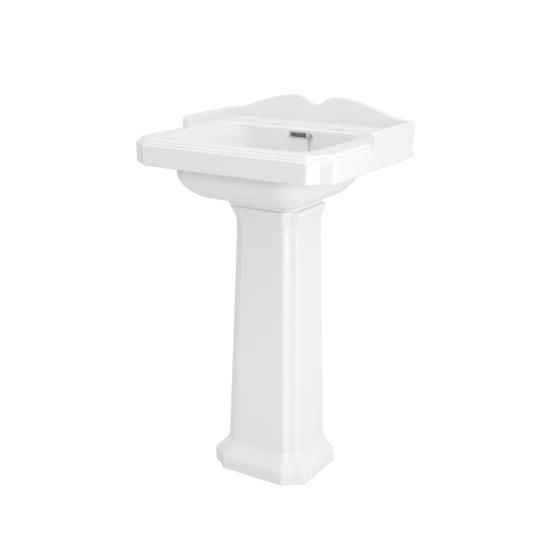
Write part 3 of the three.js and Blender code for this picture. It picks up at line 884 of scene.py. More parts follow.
# Height, the two plans it lies between, the share of the second, and how far it is pulled in.
PEDESTAL_ROWS = (
    (0.0, PLINTH, PLINTH, 0.0, 1.2),
    (0.6, PLINTH, PLINTH, 0.0, 0.3),
    (2.0, PLINTH, PLINTH, 0.0, 0.0),
    (30.0, PLINTH, PLINTH, 0.0, 0.0),
    (34.0, PLINTH, SHAFT_BOTTOM, 0.01, 0.0),
    (36.6, PLINTH, SHAFT_BOTTOM, 0.04, 0.0),
    (39.0, PLINTH, SHAFT_BOTTOM, 0.10, 0.0),
    (42.0, PLINTH, SHAFT_BOTTOM, 0.19, 0.0),
    (48.0, PLINTH, SHAFT_BOTTOM, 0.40, 0.0),
    (55.0, PLINTH, SHAFT_BOTTOM, 0.62, 0.0),
    (61.0, PLINTH, SHAFT_BOTTOM, 0.79, 0.0),
    (66.0, PLINTH, SHAFT_BOTTOM, 0.90, 0.0),
    (70.0, PLINTH, SHAFT_BOTTOM, 0.965, 0.0),
    (74.0, SHAFT_BOTTOM, SHAFT_TOP, 0.0, 0.0),
    (80.0, SHAFT_BOTTOM, SHAFT_TOP, 0.012, 0.0),
    (200.0, SHAFT_BOTTOM, SHAFT_TOP, 0.224, 0.0),
    (350.0, SHAFT_BOTTOM, SHAFT_TOP, 0.489, 0.0),
    (500.0, SHAFT_BOTTOM, SHAFT_TOP, 0.753, 0.0),
    (624.0, SHAFT_BOTTOM, SHAFT_TOP, 0.972, 0.0),
    (630.0, SHAFT_BOTTOM, SHAFT_TOP, 0.982, -0.05),
    (633.0, SHAFT_BOTTOM, SHAFT_TOP, 0.988, -0.45),
    (636.0, SHAFT_BOTTOM, SHAFT_TOP, 0.994, -1.0),
    (639.5, SHAFT_BOTTOM, SHAFT_TOP, 1.0, -1.1),
    (642.5, SHAFT_TOP, CAPITAL, 0.02, -0.6),
    (646.0, SHAFT_TOP, CAPITAL, 0.06, -0.1),
    (651.0, SHAFT_TOP, CAPITAL, 0.13, 0.0),
    (657.0, SHAFT_TOP, CAPITAL, 0.25, 0.0),
    (663.0, SHAFT_TOP, CAPITAL, 0.41, 0.0),
    (669.0, SHAFT_TOP, CAPITAL, 0.60, 0.0),
    (674.0, SHAFT_TOP, CAPITAL, 0.77, 0.0),
    (678.5, SHAFT_TOP, CAPITAL, 0.91, 0.0),
    (681.2, SHAFT_TOP, CAPITAL, 0.98, 0.0),
    (683.2, CAPITAL, CAPITAL, 0.0, 0.0),
    (687.0, CAPITAL, CAPITAL, 0.0, 0.0),
    (688.5, CAPITAL, CAPITAL, 0.0, 0.4),
    (689.0, CAPITAL, CAPITAL, 0.0, 1.4),
)
CHINA_WALL = 12.0


def pedestal_half(plan, inset, arris, rear):
    points = canted_front(*plan, inset, arris)
    x, y = points[-1]
    return points + [(x, y + (rear - y) * (i + 1) / 5) for i in range(5)]


def pedestal_ring(z, plan, inset):
    """Closed ring of the shell's section, which is open at the rear."""
    outer = pedestal_half(plan, inset, 5.0, PEDESTAL_REAR - 1.6)
    outer.append((outer[-1][0] - 0.5, PEDESTAL_REAR - 0.5))
    outer.append((outer[-1][0] - 1.2, PEDESTAL_REAR))
    inner = pedestal_half(plan, inset + CHINA_WALL, 4.0, PEDESTAL_REAR - 1.6)
    inner.append((inner[-1][0] + 0.5, PEDESTAL_REAR - 0.5))
    inner.append((inner[-1][0] + 1.2, PEDESTAL_REAR))
    right = outer + inner[::-1]
    left = [(-x, y) for x, y in inner[1:]] + [(-x, y) for x, y in outer[:0:-1]]
    return [(x, y, z) for x, y in right + left]


def pedestal_mesh():
    rings = []
    for z, first, second, share, inset in PEDESTAL_ROWS:
        rings.append(pedestal_ring(z, mixed(first, second, share), inset))
    shell = loft(rings)
    y0, y1 = FLOOR_FIXING_Y - 18, FLOOR_FIXING_Y + 18
    for side in (-1, 1):
        x0, x1 = sorted(side * (FLOOR_FIXING_X + reach) for reach in (-17, 21))
        shell = combine(shell, "UNION", box_between((x0, y0, 0.02), (x1, y1, CHINA_WALL)))
        centre = (side * FLOOR_FIXING_X, FLOOR_FIXING_Y)
        hole = lathe(((0, -5), (3.4, -5), (3.4, 20), (0, 20)), 24, centre)
        shell = combine(shell, "DIFFERENCE", hole)
    return shell


# ---- Camera and chain ----


def place_camera():
    camera = bpy.data.cameras.new("camera")
    camera.lens = 62.8
    camera.sensor_width = 36.0
    camera.shift_y = -0.07
    holder = bpy.data.objects.new("camera", camera)
    holder.location = (1.2125, -1.9297, 1.2160)
    holder.rotation_euler = (math.radians(75.06), 0, math.radians(32.0))
    bpy.context.scene.collection.objects.link(holder)
    bpy.context.scene.camera = holder


# The chain's route down the bowl's rear wall and over its floor to the plug, in metres.
HANGING_ROUTE = (
    (0.034, 0.1143, 0.8245), (0.034, 0.1142, 0.806), (0.034, 0.1124, 0.790),
    (0.0345, 0.110, 0.774), (0.036, 0.106, 0.758), (0.039, 0.099, 0.743), (0.044, 0.088, 0.732),
    (0.051, 0.074, 0.7255), (0.057, 0.057, 0.7215), (0.057, 0.039, 0.719), (0.050, 0.024, 0.7176),
    (0.040, 0.015, 0.7172), (0.031, 0.011, 0.7174), (0.0253, 0.010, 0.718),
    (0.019, 0.010, 0.7192), (0.0126, 0.010, 0.7202),
)


def even_points(stops, spacing):
    """Points a set distance apart along the smooth curve through the stops."""
    line = [Vector(row) for row in smooth_run(stops, 12)]
    travelled = [0.0]
    for a, b in zip(line, line[1:]):
        travelled.append(travelled[-1] + (b - a).length)
    total = travelled[-1]
    count = max(2, round(total / spacing))
    points = []
    segment = 0
    for i in range(count + 1):
        wanted = total * i / count
        while segment < len(line) - 2 and travelled[segment + 1] < wanted:
            segment += 1
        reach = max(travelled[segment + 1] - travelled[segment], 1e-9)
        share = (wanted - travelled[segment]) / reach
        points.append(line[segment].lerp(line[segment + 1], min(max(share, 0), 1)))
    return points, total


def upright_to(direction):
    return direction.to_track_quat("Z", "Y").to_matrix().to_4x4()


def chain_mesh(points):
    """Hollow beads on short bars of wire, in millimetres."""
    chain = settings().chain
    radius = chain.bead_diameter / MM / 2
    mesh = bmesh.new()
    for i, point in enumerate(points):
        ahead = points[min(i + 1, len(points) - 1)] - points[max(i - 1, 0)]
        place = Matrix.Translation(point / MM) @ upright_to(ahead)
        bmesh.ops.create_uvsphere(mesh, u_segments=14, v_segments=9, radius=radius, matrix=place)
    for a, b in zip(points, points[1:]):
        place = Matrix.Translation((a + b) / 2 / MM) @ upright_to(b - a)
        bmesh.ops.create_cone(
            mesh,
            cap_ends=True,
            segments=8,
            radius1=radius * 0.3,
            radius2=radius * 0.3,
            depth=(b - a).length / MM - radius * 1.2,
            matrix=place,
        )
    return mesh


def coupling_mesh(length):
    """End coupling: a rolled sleeve with a waist and a rounded mouth at both ends."""
    half = length / 2
    profile = (
        (0, -half), (1.2, -half), (1.8, -half + 0.3), (2.1, -half + 0.9), (2.1, -0.9), (1.75, -0.4),
        (1.75, 0.4), (2.1, 0.9), (2.1, half - 0.9), (1.8, half - 0.3), (1.2, half), (0, half),
    )
    return lathe(profile, 28)


def build_chain():
    chain = settings().chain
    points, length = even_points(HANGING_ROUTE, chain.bead_pitch)
    piece = make_piece(
        "ball_chain", chain_mesh(points), "chrome", None, ("chain_hanging", "chain_at_plug"), 60.0
    )
    upper = coupling_mesh(7.0)
    bmesh.ops.translate(upper, verts=upper.verts, vec=(STAY_X, 114.3, 828.3))
    upper = make_piece(
        "chain_coupling_top", upper, "chrome", "root", ("chain_coupling_upper",), 40.0
    )
    lower = coupling_mesh(7.0)
    bmesh.ops.rotate(lower, verts=lower.verts, matrix=Matrix.Rotation(math.pi / 2, 3, "Y"))
    bmesh.ops.translate(lower, verts=lower.verts, vec=(8.8, WASTE_Y, 720.6))
    lower = make_piece(
        "chain_coupling_plug", lower, "chrome", "plug", ("chain_coupling_lower",), 40.0
    )
    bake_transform(piece)


# ---- Fittings ----


def threaded(radius, start, end, pitch=1.6, depth=0.55):
    """Profile of a screwed length, as rings of ridges from the start to the end."""
    corners = []
    count = int(abs(end - start) / pitch)
    step = (end - start) / count
    for i in range(count):
        corners.append((radius - depth, start + step * (i + 0.1)))
        corners.append((radius, start + step * (i + 0.5)))
    corners.append((radius - depth, end - step * 0.1))
    return corners


def hexagon_ring(across, z, count, centre, cut=0.0):
    """Ring round a hexagon; cut rounds its corners towards the circle inside it."""
    ring = []
    for i in range(count):
        angle = 2 * math.pi * i / count
        sector = (angle + math.pi / 6) % (math.pi / 3) - math.pi / 6
        radius = across / 2 / math.cos(sector)
        radius = min(radius, across / 2 * (1 + 0.155 * (1 - cut)))
        ring.append((centre[0] + radius * math.cos(angle), centre[1] + radius * math.sin(angle), z))
    return ring


def circle_ring(radius, z, count, centre, ribs=0, rise=0.0):
    """Ring round a circle, with raised grip ribs if asked for."""
    ring = []
    for i in range(count):
        angle = 2 * math.pi * i / count
        swell = rise * max(0.0, math.cos(ribs * angle)) ** 0.6 if ribs else 0.0
        reach = radius + swell
        ring.append((centre[0] + reach * math.cos(angle), centre[1] + reach * math.sin(angle), z))
    return ring


def hex_nut(across, bore, low, high, centre):
    count = 48
    chamfer = (high - low) * 0.14
    return loft(
        [
            hexagon_ring(across, low, count, centre, 0.75),
            hexagon_ring(across, low + chamfer, count, centre),
            hexagon_ring(across, high - chamfer, count, centre),
            hexagon_ring(across, high, count, centre, 0.75),
            circle_ring(bore + 0.7, high, count, centre),
            circle_ring(bore, high - 0.7, count, centre),
            circle_ring(bore, low + 0.7, count, centre),
            circle_ring(bore + 0.7, low, count, centre),
        ],
        closed=True,
    )


def build_waste():
    tail = [(16.5, 628.4), (17.0, 628.0), (20.2, 628.0)]
    tail += threaded(20.9, 628.6, 700.0)
    tail += [
        (20.6, 701.0), (20.6, 709.6), (21.4, 709.9), (31.0, 710.2), (32.2, 710.6), (32.5, 711.2),
        (32.2, 711.9), (31.0, 712.5), (28.4, 712.9), (25.4, 713.0), (23.6, 712.7), (22.6, 712.0),
        (22.0, 710.9), (19.4, 706.8), (18.6, 706.2), (16.5, 706.0),
    ]
    body = lathe(tail, 72, (0, WASTE_Y))
    body = combine(body, "DIFFERENCE", box_between((-5, WASTE_Y - 30, 697), (5, WASTE_Y + 30, 704)))
    make_piece("waste_outlet", body, "chrome", "root", ("waste_body",), 38.0)
    nut = hex_nut(56.0, 21.3, 671.0, 680.0, (0, WASTE_Y))
    make_piece("waste_nut", nut, "brass", "root", ("waste_backnut",), 30.0, 0.4)
    for name, node, inner, outer, low, high in (
        ("waste_upper_washer", "waste_top_seal", 21.6, 31.0, 708.3, 709.4),
        ("waste_lower_washer", "waste_bottom_seal", 21.6, 33.0, 680.3, 683.7),
    ):
        ring = lathe(((inner, low), (outer, low), (outer, high), (inner, high)), 64, (0, WASTE_Y))
        make_piece(name, ring, "black_rubber", "root", (node,), 30.0, 0.3)


def wire_ring(radius, wire, steps, centre):
    """Ring of round wire that stands across the basin, about the centre."""
    profile = []
    for i in range(12):
        angle = 2 * math.pi * i / 12
        profile.append((radius + wire * math.cos(angle), wire * math.sin(angle)))
    ring = lathe(profile, steps)
    bmesh.ops.rotate(ring, verts=ring.verts, matrix=Matrix.Rotation(math.pi / 2, 3, "X"))
    bmesh.ops.translate(ring, verts=ring.verts, vec=centre)
    return ring


def build_plug():
    cap = (
        (0, 713.4), (20.4, 713.4), (21.1, 713.7), (21.4, 714.1), (21.0, 714.6), (19.4, 715.1),
        (15.0, 715.35), (14.4, 715.2), (13.8, 715.4), (8.0, 715.9), (3.0, 716.15), (0, 716.2),
    )
    make_piece("plug_disc", lathe(cap, 72, (0, WASTE_Y)), "chrome", "plug", ("plug_cap",), 50.0)
    seal = (
        (0, 707.2), (17.6, 707.2), (18.4, 707.5), (18.9, 708.2), (20.9, 712.2), (21.1, 712.7),
        (20.8, 713.0), (0, 713.0),
    )
    make_piece(
        "plug_stopper", lathe(seal, 72, (0, WASTE_Y)), "black_rubber", "plug", ("plug_seal",), 40.0
    )
    eye = wire_ring(3.6, 0.8, 36, (0, WASTE_Y, 722.2))
    post = lathe(
        ((0, 716.5), (2.2, 716.5), (2.2, 717.0), (1.5, 717.8), (1.3, 718.6), (0, 718.9)),
        24, (0, WASTE_Y),
    )
    make_piece("plug_ring_eye", add_to(eye, post), "chrome", "plug", ("plug_eye",), 50.0)


def build_chain_stay():
    knob = (
        (0, 107.6), (1.6, 107.65), (3.2, 107.95), (4.5, 108.7), (5.15, 109.8), (5.2, 110.7),
        (4.6, 111.5), (3.2, 112.1), (2.2, 112.7), (2.0, 113.4), (2.0, 115.7), (2.3, 116.2),
        (6.2, 116.5), (7.1, 116.9), (7.4, 117.6), (7.4, 118.7), (3.0, 118.7),
        *threaded(3.0, 119.4, 145.0, 1.2, 0.4), (2.2, 146.0), (0, 146.0),
    )
    bolt = lathe(knob, 48, (STAY_X, STAY_Z), True)
    make_piece("stay_knob", bolt, "chrome", "root", ("stay_bolt",), 45.0)
    rows = ((3.4, 134.3), (7, 134.3), (7, 135.8), (3.4, 135.8))
    washer = lathe(rows, 40, (STAY_X, STAY_Z), True)
    make_piece("stay_back_washer", washer, "zinc_steel", "root", ("stay_washer",), 30.0, 0.25)
    nut = turn_to_y(hex_nut(10.0, 3.4, 136.1, 141.1, (0, 0)), STAY_X, STAY_Z)
    make_piece("stay_back_nut", nut, "zinc_steel", "root", ("stay_nut",), 30.0, 0.2)
    low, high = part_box("stay_ring")
    ring = wire_ring(6.6, 0.8, 48, (low + high) / 2 / MM)
    make_piece("stay_split_ring", ring, "chrome", "root", ("stay_ring",), 50.0)


def upright_ring(half_width, half_height, radius, y):
    """Rounded rectangle standing in the plane of the grid."""
    outline = rounded_rectangle(-half_width, half_width, -half_height, half_height, radius)
    return [(x, y, OVERFLOW_Z + z) for x, z in outline]


def grid_bar(x, width, height, front, back):
    low = (x - width / 2, front, OVERFLOW_Z - height)
    high = (x + width / 2, back, OVERFLOW_Z + height)
    return round_uprights(box_between(low, high), 0.45, 3)


def build_overflow():
    """Chrome grid of upright bars in a frame with a rolled edge, and the sleeve behind it, made
    black as painted shade for the dark inside the overflow.
    """
    half_width, half_height, bars, slot = 24.0, 7.5, 8, 3.3
    back, front = 118.7, 116.5
    pitch = (2 * half_width - 3.5) / (bars + 1)
    window = half_width - 2.6
    surround = loft(
        [
            upright_ring(half_width, half_height, 1.6, back),
            upright_ring(half_width, half_height, 1.6, front + 0.7),
            upright_ring(half_width - 0.2, half_height - 0.2, 1.5, front + 0.25),
            upright_ring(half_width - 0.7, half_height - 0.7, 1.2, front),
            upright_ring(window + 0.4, 5.6, 0.5, front),
            upright_ring(window, 5.2, 0.4, front + 0.4),
            upright_ring(window, 5.2, 0.4, back),
        ],
        closed=True,
    )
    for i in range(bars):
        x = (i - (bars - 1) / 2) * pitch
        add_to(surround, grid_bar(x, pitch - slot, 5.5, front + 0.15, back - 0.3))
    make_piece("overflow_cover", surround, "chrome", "root", ("overflow_grid",), 35.0)
    sleeve = combine(
        box_between((-19.6, 119, OVERFLOW_Z - 5.6), (19.6, 133, OVERFLOW_Z + 5.6)),
        "DIFFERENCE",
        box_between((-18.2, 114, OVERFLOW_Z - 4.2), (18.2, 139, OVERFLOW_Z + 4.2)),
    )
    # The sleeve's black rubber is painted shade: the dark sleeve stands for the shadow inside the
    # overflow slot, not for its own colour.
    make_piece("overflow_liner_painted_shade", sleeve, "black_rubber", "root", ("overflow_sleeve",), 30.0, 0.3)


def ribbed_nut(rows, ribs, count=144):
    """Hand nut from rows of radius, height and rib rise, closed through its bore."""
    rings = [circle_ring(radius, z, count, (0, 0), ribs, rise) for radius, z, rise in rows]
    return loft(rings, closed=True)


def build_trap_housing():
    trap = [
        (27.0, 520.0), (30.4, 520.0), *threaded(31.0, 520.6, 536.0, 2.4, 0.7), (31.0, 539.0),
        (31.0, 598.0), (30.4, 600.6), (25.4, 609.6), (24.2, 612.0), (23.6, 616.0),
        *threaded(24.0, 620.0, 639.0, 2.2, 0.6), (23.4, 640.0), (21.4, 640.0), (21.4, 618.4),
        (16.0, 618.4), (16.0, 607.0), (27.0, 598.0),
    ]
    body = lathe(trap, 64, (0, WASTE_Y))
    stub = lathe(
        ((0, 30), (20, 30), *threaded(20.0, 52.0, 74.4, 2.2, 0.6), (19.6, 75.0), (0, 75.0)),
        56, (0, TRAP_OUTLET_Z), True,
    )
    core = lathe(((0, 530), (26.9, 530), (26.9, 597), (0, 597)), 64, (0, WASTE_Y))
    body = combine(body, "UNION", combine(stub, "DIFFERENCE", core))
    passage = ((0, WASTE_Y), (16.5, WASTE_Y), (16.5, 80), (0, 80))
    body = combine(body, "DIFFERENCE", lathe(passage, 56, (0, TRAP_OUTLET_Z), True))
    make_piece("trap_housing", body, "white_plastic", "root", ("trap_body",), 32.0)
    tube = ((13.6, 488), (15.4, 488), (15.4, 618.7), (21, 618.7), (21, 621), (13.6, 621))
    tube = lathe(tube, 56, (0, WASTE_Y))
    make_piece("trap_inner_tube", tube, "white_plastic", "root", ("trap_dip_tube",), 30.0, 0.3)


def build_trap_washers():
    for name, node, inner, outer, low, high, along in (
        ("trap_inlet_washer", "trap_inlet_seal", 21.3, 24.0, 640.3, 643.0, False),
        ("trap_cup_washer", "trap_cup_seal", 27.2, 30.8, 517.3, 519.7, False),
        ("trap_outlet_washer", "trap_outlet_seal", 16.3, 19.8, 75.3, 78.0, True),
    ):
        centre = (0, TRAP_OUTLET_Z) if along else (0, WASTE_Y)
        rows = ((inner, low), (outer, low), (outer, high), (inner, high))
        washer = lathe(rows, 56, centre, along)
        body = "trap_cup" if node == "trap_cup_seal" else "root"
        make_piece(name, washer, "black_rubber", body, (node,), 30.0, 0.3)


def build_trap_nuts_and_cup():
    inlet = ribbed_nut(
        (
            (24.4, 622.0, 0), (28.4, 622.0, 0), (28.8, 623.4, 1.0), (28.8, 641.6, 1.0),
            (28.8, 643.6, 0.2), (27.6, 646.0, 0), (26.8, 646.5, 0), (21.4, 646.5, 0),
            (21.4, 643.3, 0), (24.4, 643.3, 0),
        ),
        18,
    )
    bmesh.ops.translate(inlet, verts=inlet.verts, vec=(0, WASTE_Y, 0))
    make_piece("trap_inlet_hand_nut", inlet, "white_plastic", "root", ("trap_inlet_nut",), 34.0)
    outlet = ribbed_nut(
        (
            (20.4, 58.0, 0), (24.4, 58.0, 0), (24.9, 59.4, 1.0), (24.9, 77.4, 1.0),
            (24.9, 79.2, 0.2), (23.8, 81.1, 0), (23.0, 81.5, 0), (16.4, 81.5, 0), (16.4, 78.3, 0),
            (20.4, 78.3, 0),
        ),
        16,
    )
    make_piece(
        "trap_outlet_hand_nut", turn_to_y(outlet, 0, TRAP_OUTLET_Z), "white_plastic", "root",
        ("trap_outlet_nut",), 34.0,
    )
    cup = ribbed_nut(
        (
            (0.3, 470.0, 0), (24.0, 470.0, 0), (27.0, 470.4, 0), (30.6, 472.6, 0), (32.4, 475.0, 0),
            (33.0, 478.0, 0), (33.0, 507.6, 0), (33.6, 509.2, 0.1), (34.4, 511.0, 1.0),
            (34.4, 534.6, 1.0), (34.0, 536.0, 0), (31.4, 536.0, 0), (31.4, 517.0, 0),
            (27.0, 517.0, 0), (27.0, 476.0, 0), (25.6, 474.4, 0), (0.3, 474.0, 0),
        ),
        22,
    )
    bmesh.ops.translate(cup, verts=cup.verts, vec=(0, WASTE_Y, 0))
    make_piece("trap_bottle_cup", cup, "white_plastic", "trap_cup", ("trap_cup",), 34.0)


def build_waste_pipe():
    wall = (
        (14.2, 52.6), (14.8, 52.0), (15.6, 52.0), (16.0, 52.5), (16.0, 197.4), (15.6, 198.0),
        (14.8, 198.0), (14.2, 197.4),
    )
    pipe = lathe(wall, 56, (0, TRAP_OUTLET_Z), True)
    make_piece("waste_pipe", pipe, "white_plastic", "root", ("outlet_pipe",), 50.0)


def build_wall_fixing(side, label):
    x, z = side * WALL_FIXING_X, WALL_FIXING_Z

    def turned(name, profile, steps, slot, node, sharp, bevel=0.0):
        mesh = lathe(profile, steps, (x, z), True)
        make_piece(f"{name}_{label}", mesh, slot, "root", (f"{node}_{label}",), sharp, bevel)

    thread = threaded(4.0, 184.0, 220.0, 1.5, 0.5)
    stud = ((0, 183.2), (3.2, 183.2), *thread, (3.2, 220.7), (0, 220.7))
    turned("wall_bolt", stud, 32, "zinc_steel", "wall_stud", 45.0)
    bush = (
        (4.3, 203.7), (11.6, 203.7), (12.0, 204.1), (12.0, 206.7), (7.6, 206.7), (7.6, 219.6),
        (7.2, 220.0), (4.3, 220.0),
    )
    turned("wall_collar", bush, 40, "white_plastic", "wall_bush", 30.0, 0.2)
    washer = ((4.3, 201.4), (12.5, 201.4), (12.5, 203.4), (4.3, 203.4))
    turned("wall_disc", washer, 40, "zinc_steel", "wall_washer", 30.0, 0.3)
    nut = turn_to_y(hex_nut(13.0, 4.3, 194.6, 201.1, (0, 0)), x, z)
    make_piece(f"wall_hex_{label}", nut, "zinc_steel", "root", (f"wall_nut_{label}",), 30.0, 0.3)


def build_floor_fixing(side, label):
    x, y = side * FLOOR_FIXING_X, FLOOR_FIXING_Y
    disc = ((3.2, 12.3), (7.6, 12.3), (8.0, 12.6), (8.0, 13.4), (7.2, 13.9), (3.2, 13.9))
    cup = lathe(disc, 40, (x, y))
    make_piece(f"floor_cup_{label}", cup, "white_plastic", "root", (f"floor_washer_{label}",), 35.0)
    screw = (
        (0, 0.3), (1.0, 0.5), *threaded(2.6, 2.0, 13.6, 1.7, 0.7), (2.6, 14.2), (5.6, 14.2),
        (6.0, 14.6), (5.7, 16.0), (4.6, 17.3), (2.6, 17.9), (0, 18.0),
    )
    cross = add_to(
        box_between((x - 2.6, y - 0.5, 16.6), (x + 2.6, y + 0.5, 20)),
        box_between((x - 0.5, y - 2.6, 16.6), (x + 0.5, y + 2.6, 20)),
    )
    head = combine(lathe(screw, 40, (x, y)), "DIFFERENCE", cross)
    make_piece(f"floor_bolt_{label}", head, "zinc_steel", "root", (f"floor_screw_{label}",), 40.0)


def build_bead():
    """Bead of sealant on the pedestal's top edge, pressed flat by the basin."""
    rows = (
        (1.35, 689.02), (1.45, 689.5), (1.9, 690.1), (2.8, 690.6), (4.0, 690.97), (9.4, 690.97),
        (9.4, 689.02),
    )
    mesh = bmesh.new()
    edges = []
    for inset, z in rows:
        half = pedestal_half(CAPITAL, inset, 4.0, PEDESTAL_REAR - 2.2)
        outline = [(-x, y, z) for x, y in half[::-1]] + [(x, y, z) for x, y in half[1:]]
        points = [mesh.verts.new(point) for point in outline]
        edges.append([mesh.edges.new(pair) for pair in zip(points, points[1:])])
    for i, lower in enumerate(edges):
        bmesh.ops.bridge_loops(mesh, edges=lower + edges[(i + 1) % len(edges)])
    ends = [edge for edge in mesh.edges if edge.is_boundary]
    bmesh.ops.holes_fill(mesh, edges=ends, sides=0)
    bmesh.ops.recalc_face_normals(mesh, faces=mesh.faces)
    make_piece("sealant_bead", mesh, "white_sealant", "root", ("pedestal_seal",), 40.0)


# ---- Studio ----


def floor_finish():
    """Pale floor that looks as white as its surroundings but throws back less light."""
    material, nodes, links, shader = new_material("studio_floor")
    clouds = spread(nodes, links, object_noise(nodes, links, 1.5, 2.0), 0, 1)
    tone = two_tone(nodes, links, clouds, (0.80, 0.80, 0.80), (0.78, 0.78, 0.78))
    links.new(tone, shader.inputs["Base Color"])
    rough = object_noise(nodes, links, 8.0, 2.0)
    links.new(spread(nodes, links, rough, 0.55, 0.65), shader.inputs["Roughness"])
    glow = nodes.new("ShaderNodeEmission")
    glow.inputs["Strength"].default_value = 1.08
    path = nodes.new("ShaderNodeLightPath")
    share = nodes.new("ShaderNodeMath")
    share.operation = "MULTIPLY"
    share.inputs[1].default_value = 0.9
    choose = nodes.new("ShaderNodeMixShader")
    links.new(path.outputs["Is Camera Ray"], share.inputs[0])
    links.new(share.outputs["Value"], choose.inputs["Fac"])
    links.new(shader.outputs["BSDF"], choose.inputs[1])
    links.new(glow.outputs["Emission"], choose.inputs[2])
    links.new(choose.outputs["Shader"], nodes["Material Output"].inputs["Surface"])
    return material


def area_light(name, position, target, size, power):
    light = bpy.data.lights.new(name, "AREA")
    light.shape = "RECTANGLE"
    light.size, light.size_y = size
    light.energy = power
    holder = bpy.data.objects.new(name, light)
    holder.location = position
    aim = Vector(target) - Vector(position)
    holder.rotation_euler = aim.to_track_quat("-Z", "Y").to_euler()
    holder.visible_camera = False
    bpy.context.scene.collection.objects.link(holder)
    return holder


def build_floor():
    mesh = bmesh.new()
    bmesh.ops.create_grid(mesh, x_segments=4, y_segments=4, size=14)
    data = bpy.data.meshes.new("floor")
    mesh.to_mesh(data)
    mesh.free()
    floor = bpy.data.objects.new("floor", data)
    data.materials.append(floor_finish())
    bpy.context.scene.collection.objects.link(floor)


def light_surroundings(strength):
    """White all round, shown a little brighter than the light it gives."""
    world = bpy.context.scene.world or bpy.data.worlds.new("studio")
    bpy.context.scene.world = world
    world.use_nodes = True
    nodes, links = world.node_tree.nodes, world.node_tree.links
    nodes.clear()
    seen = nodes.new("ShaderNodeBackground")
    seen.inputs["Color"].default_value = (1, 1, 1, 1)
    seen.inputs["Strength"].default_value = 1.05
    cast = nodes.new("ShaderNodeBackground")
    cast.inputs["Color"].default_value = (0.99, 0.995, 1, 1)
    cast.inputs["Strength"].default_value = strength
    path = nodes.new("ShaderNodeLightPath")
    choose = nodes.new("ShaderNodeMixShader")
    output = nodes.new("ShaderNodeOutputWorld")
    links.new(path.outputs["Is Camera Ray"], choose.inputs["Fac"])
    links.new(cast.outputs["Background"], choose.inputs[1])
    links.new(seen.outputs["Background"], choose.inputs[2])
    links.new(choose.outputs["Shader"], output.inputs["Surface"])


def build_studio():
    studio = settings().studio
    build_floor()
    light_surroundings(studio.surround)
    area_light("side", (2.4, -0.75, 0.98), (0, 0, 0.5), (1.8, 1.9), studio.side_power)
    area_light("top", (-0.3, -0.4, 2.9), (0, 0, 0.6), (2.0, 2.0), studio.top_power)
    bpy.context.scene.view_settings.view_transform = "Standard"


# ---- Operators ----


class SINK_OT_camera(bpy.types.Operator):
    """Place the camera"""

    bl_idname = "sink.camera"
    bl_label = "Camera"
    bl_options = {"REGISTER", "UNDO"}

    def execute(self, context):
        place_camera()
        return {"FINISHED"}


class SINK_OT_chain(bpy.types.Operator):
    """Make the ball chain and its two couplings"""

    bl_idname = "sink.chain"
    bl_label = "Ball Chain"
    bl_options = {"REGISTER", "UNDO"}

    def execute(self, context):
        build_chain()
        return {"FINISHED"}


class SINK_OT_basin(bpy.types.Operator):
    """Make the china basin with its moulded rim, side returns and scalloped backsplash"""

    bl_idname = "sink.basin"
    bl_label = "Basin"
    bl_options = {"REGISTER", "UNDO"}

    def execute(self, context):
        make_piece("china_basin", basin_mesh(), "white_china", "root", ("basin",), 34.0)
        return {"FINISHED"}


class SINK_OT_pedestal(bpy.types.Operator):
    """Make the hollow china pedestal"""

    bl_idname = "sink.pedestal"
    bl_label = "Pedestal"
    bl_options = {"REGISTER", "UNDO"}

    def execute(self, context):
        shell = pedestal_mesh()
        make_piece("china_pedestal", shell, "white_china", "root", ("pedestal",), 34.0)
        return {"FINISHED"}


class SINK_OT_bead(bpy.types.Operator):
    """Make the bead of sealant between the pedestal and the basin"""

    bl_idname = "sink.bead"
    bl_label = "Sealant Bead"
    bl_options = {"REGISTER", "UNDO"}

    def execute(self, context):
        build_bead()
        return {"FINISHED"}


class SINK_OT_waste(bpy.types.Operator):
    """Make the waste with its nut and washers"""

    bl_idname = "sink.waste"
    bl_label = "Waste"
    bl_options = {"REGISTER", "UNDO"}

    def execute(self, context):
        build_waste()
        return {"FINISHED"}


class SINK_OT_plug(bpy.types.Operator):
    """Make the plug and its eye"""

    bl_idname = "sink.plug"
    bl_label = "Plug"
    bl_options = {"REGISTER", "UNDO"}

    def execute(self, context):
        build_plug()
        return {"FINISHED"}


class SINK_OT_stay(bpy.types.Operator):
    """Make the chain stay with its ring, washer and nut"""

    bl_idname = "sink.stay"
    bl_label = "Chain Stay"
    bl_options = {"REGISTER", "UNDO"}

    def execute(self, context):
        build_chain_stay()
        return {"FINISHED"}


class SINK_OT_overflow(bpy.types.Operator):
    """Make the overflow's grid and liner"""

    bl_idname = "sink.overflow"
    bl_label = "Overflow"
    bl_options = {"REGISTER", "UNDO"}

    def execute(self, context):
        build_overflow()
        return {"FINISHED"}


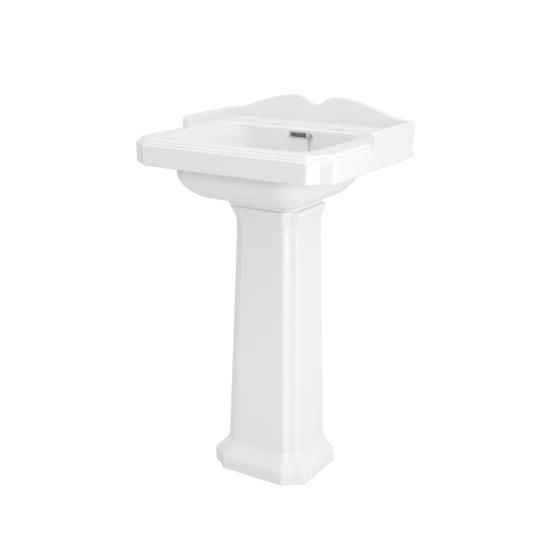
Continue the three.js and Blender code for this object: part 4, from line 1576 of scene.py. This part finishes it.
class SINK_OT_trap(bpy.types.Operator):
    """Make the bottle trap and the pipe to the wall"""

    bl_idname = "sink.trap"
    bl_label = "Bottle Trap"
    bl_options = {"REGISTER", "UNDO"}

    def execute(self, context):
        build_trap_housing()
        build_trap_washers()
        build_trap_nuts_and_cup()
        build_waste_pipe()
        return {"FINISHED"}


class SINK_OT_fixings(bpy.types.Operator):
    """Make the wall and floor fixings"""

    bl_idname = "sink.fixings"
    bl_label = "Fixings"
    bl_options = {"REGISTER", "UNDO"}

    def execute(self, context):
        for side, label in ((-1, "left"), (1, "right")):
            build_wall_fixing(side, label)
            build_floor_fixing(side, label)
        return {"FINISHED"}


class SINK_OT_studio(bpy.types.Operator):
    """Make the floor, the surroundings and the light"""

    bl_idname = "sink.studio"
    bl_label = "Studio"
    bl_options = {"REGISTER", "UNDO"}

    def execute(self, context):
        build_studio()
        return {"FINISHED"}


STEPS = (
    SINK_OT_camera,
    SINK_OT_chain,
    SINK_OT_basin,
    SINK_OT_pedestal,
    SINK_OT_bead,
    SINK_OT_waste,
    SINK_OT_plug,
    SINK_OT_stay,
    SINK_OT_overflow,
    SINK_OT_trap,
    SINK_OT_fixings,
    SINK_OT_studio,
)


class SINK_PT_panel(bpy.types.Panel):
    """Sizes, colours and steps of the pedestal basin"""

    bl_idname = "SINK_PT_panel"
    bl_label = "Pedestal Basin"
    bl_space_type = "VIEW_3D"
    bl_region_type = "UI"
    bl_category = "Basin"

    def draw(self, context):
        sink = context.scene.pedestal_sink
        for group in (sink.china, sink.chain, sink.fittings, sink.studio):
            column = self.layout.column(align=True)
            for name in group.__annotations__:
                column.prop(group, name)
        steps = self.layout.column(align=True)
        for step in STEPS:
            steps.operator(step.bl_idname)


CLASSES = (
    ChinaSettings,
    ChainSettings,
    FittingSettings,
    StudioSettings,
    SinkSettings,
    *STEPS,
    SINK_PT_panel,
)


def register():
    for entry in CLASSES:
        bpy.utils.register_class(entry)
    bpy.types.Scene.pedestal_sink = bpy.props.PointerProperty(type=SinkSettings)


def unregister():
    del bpy.types.Scene.pedestal_sink
    for entry in reversed(CLASSES):
        bpy.utils.unregister_class(entry)


def main():
    register()
    for step in STEPS:
        group, name = step.bl_idname.split(".")
        getattr(getattr(bpy.ops, group), name)()


if __name__ == "__main__":
    main()
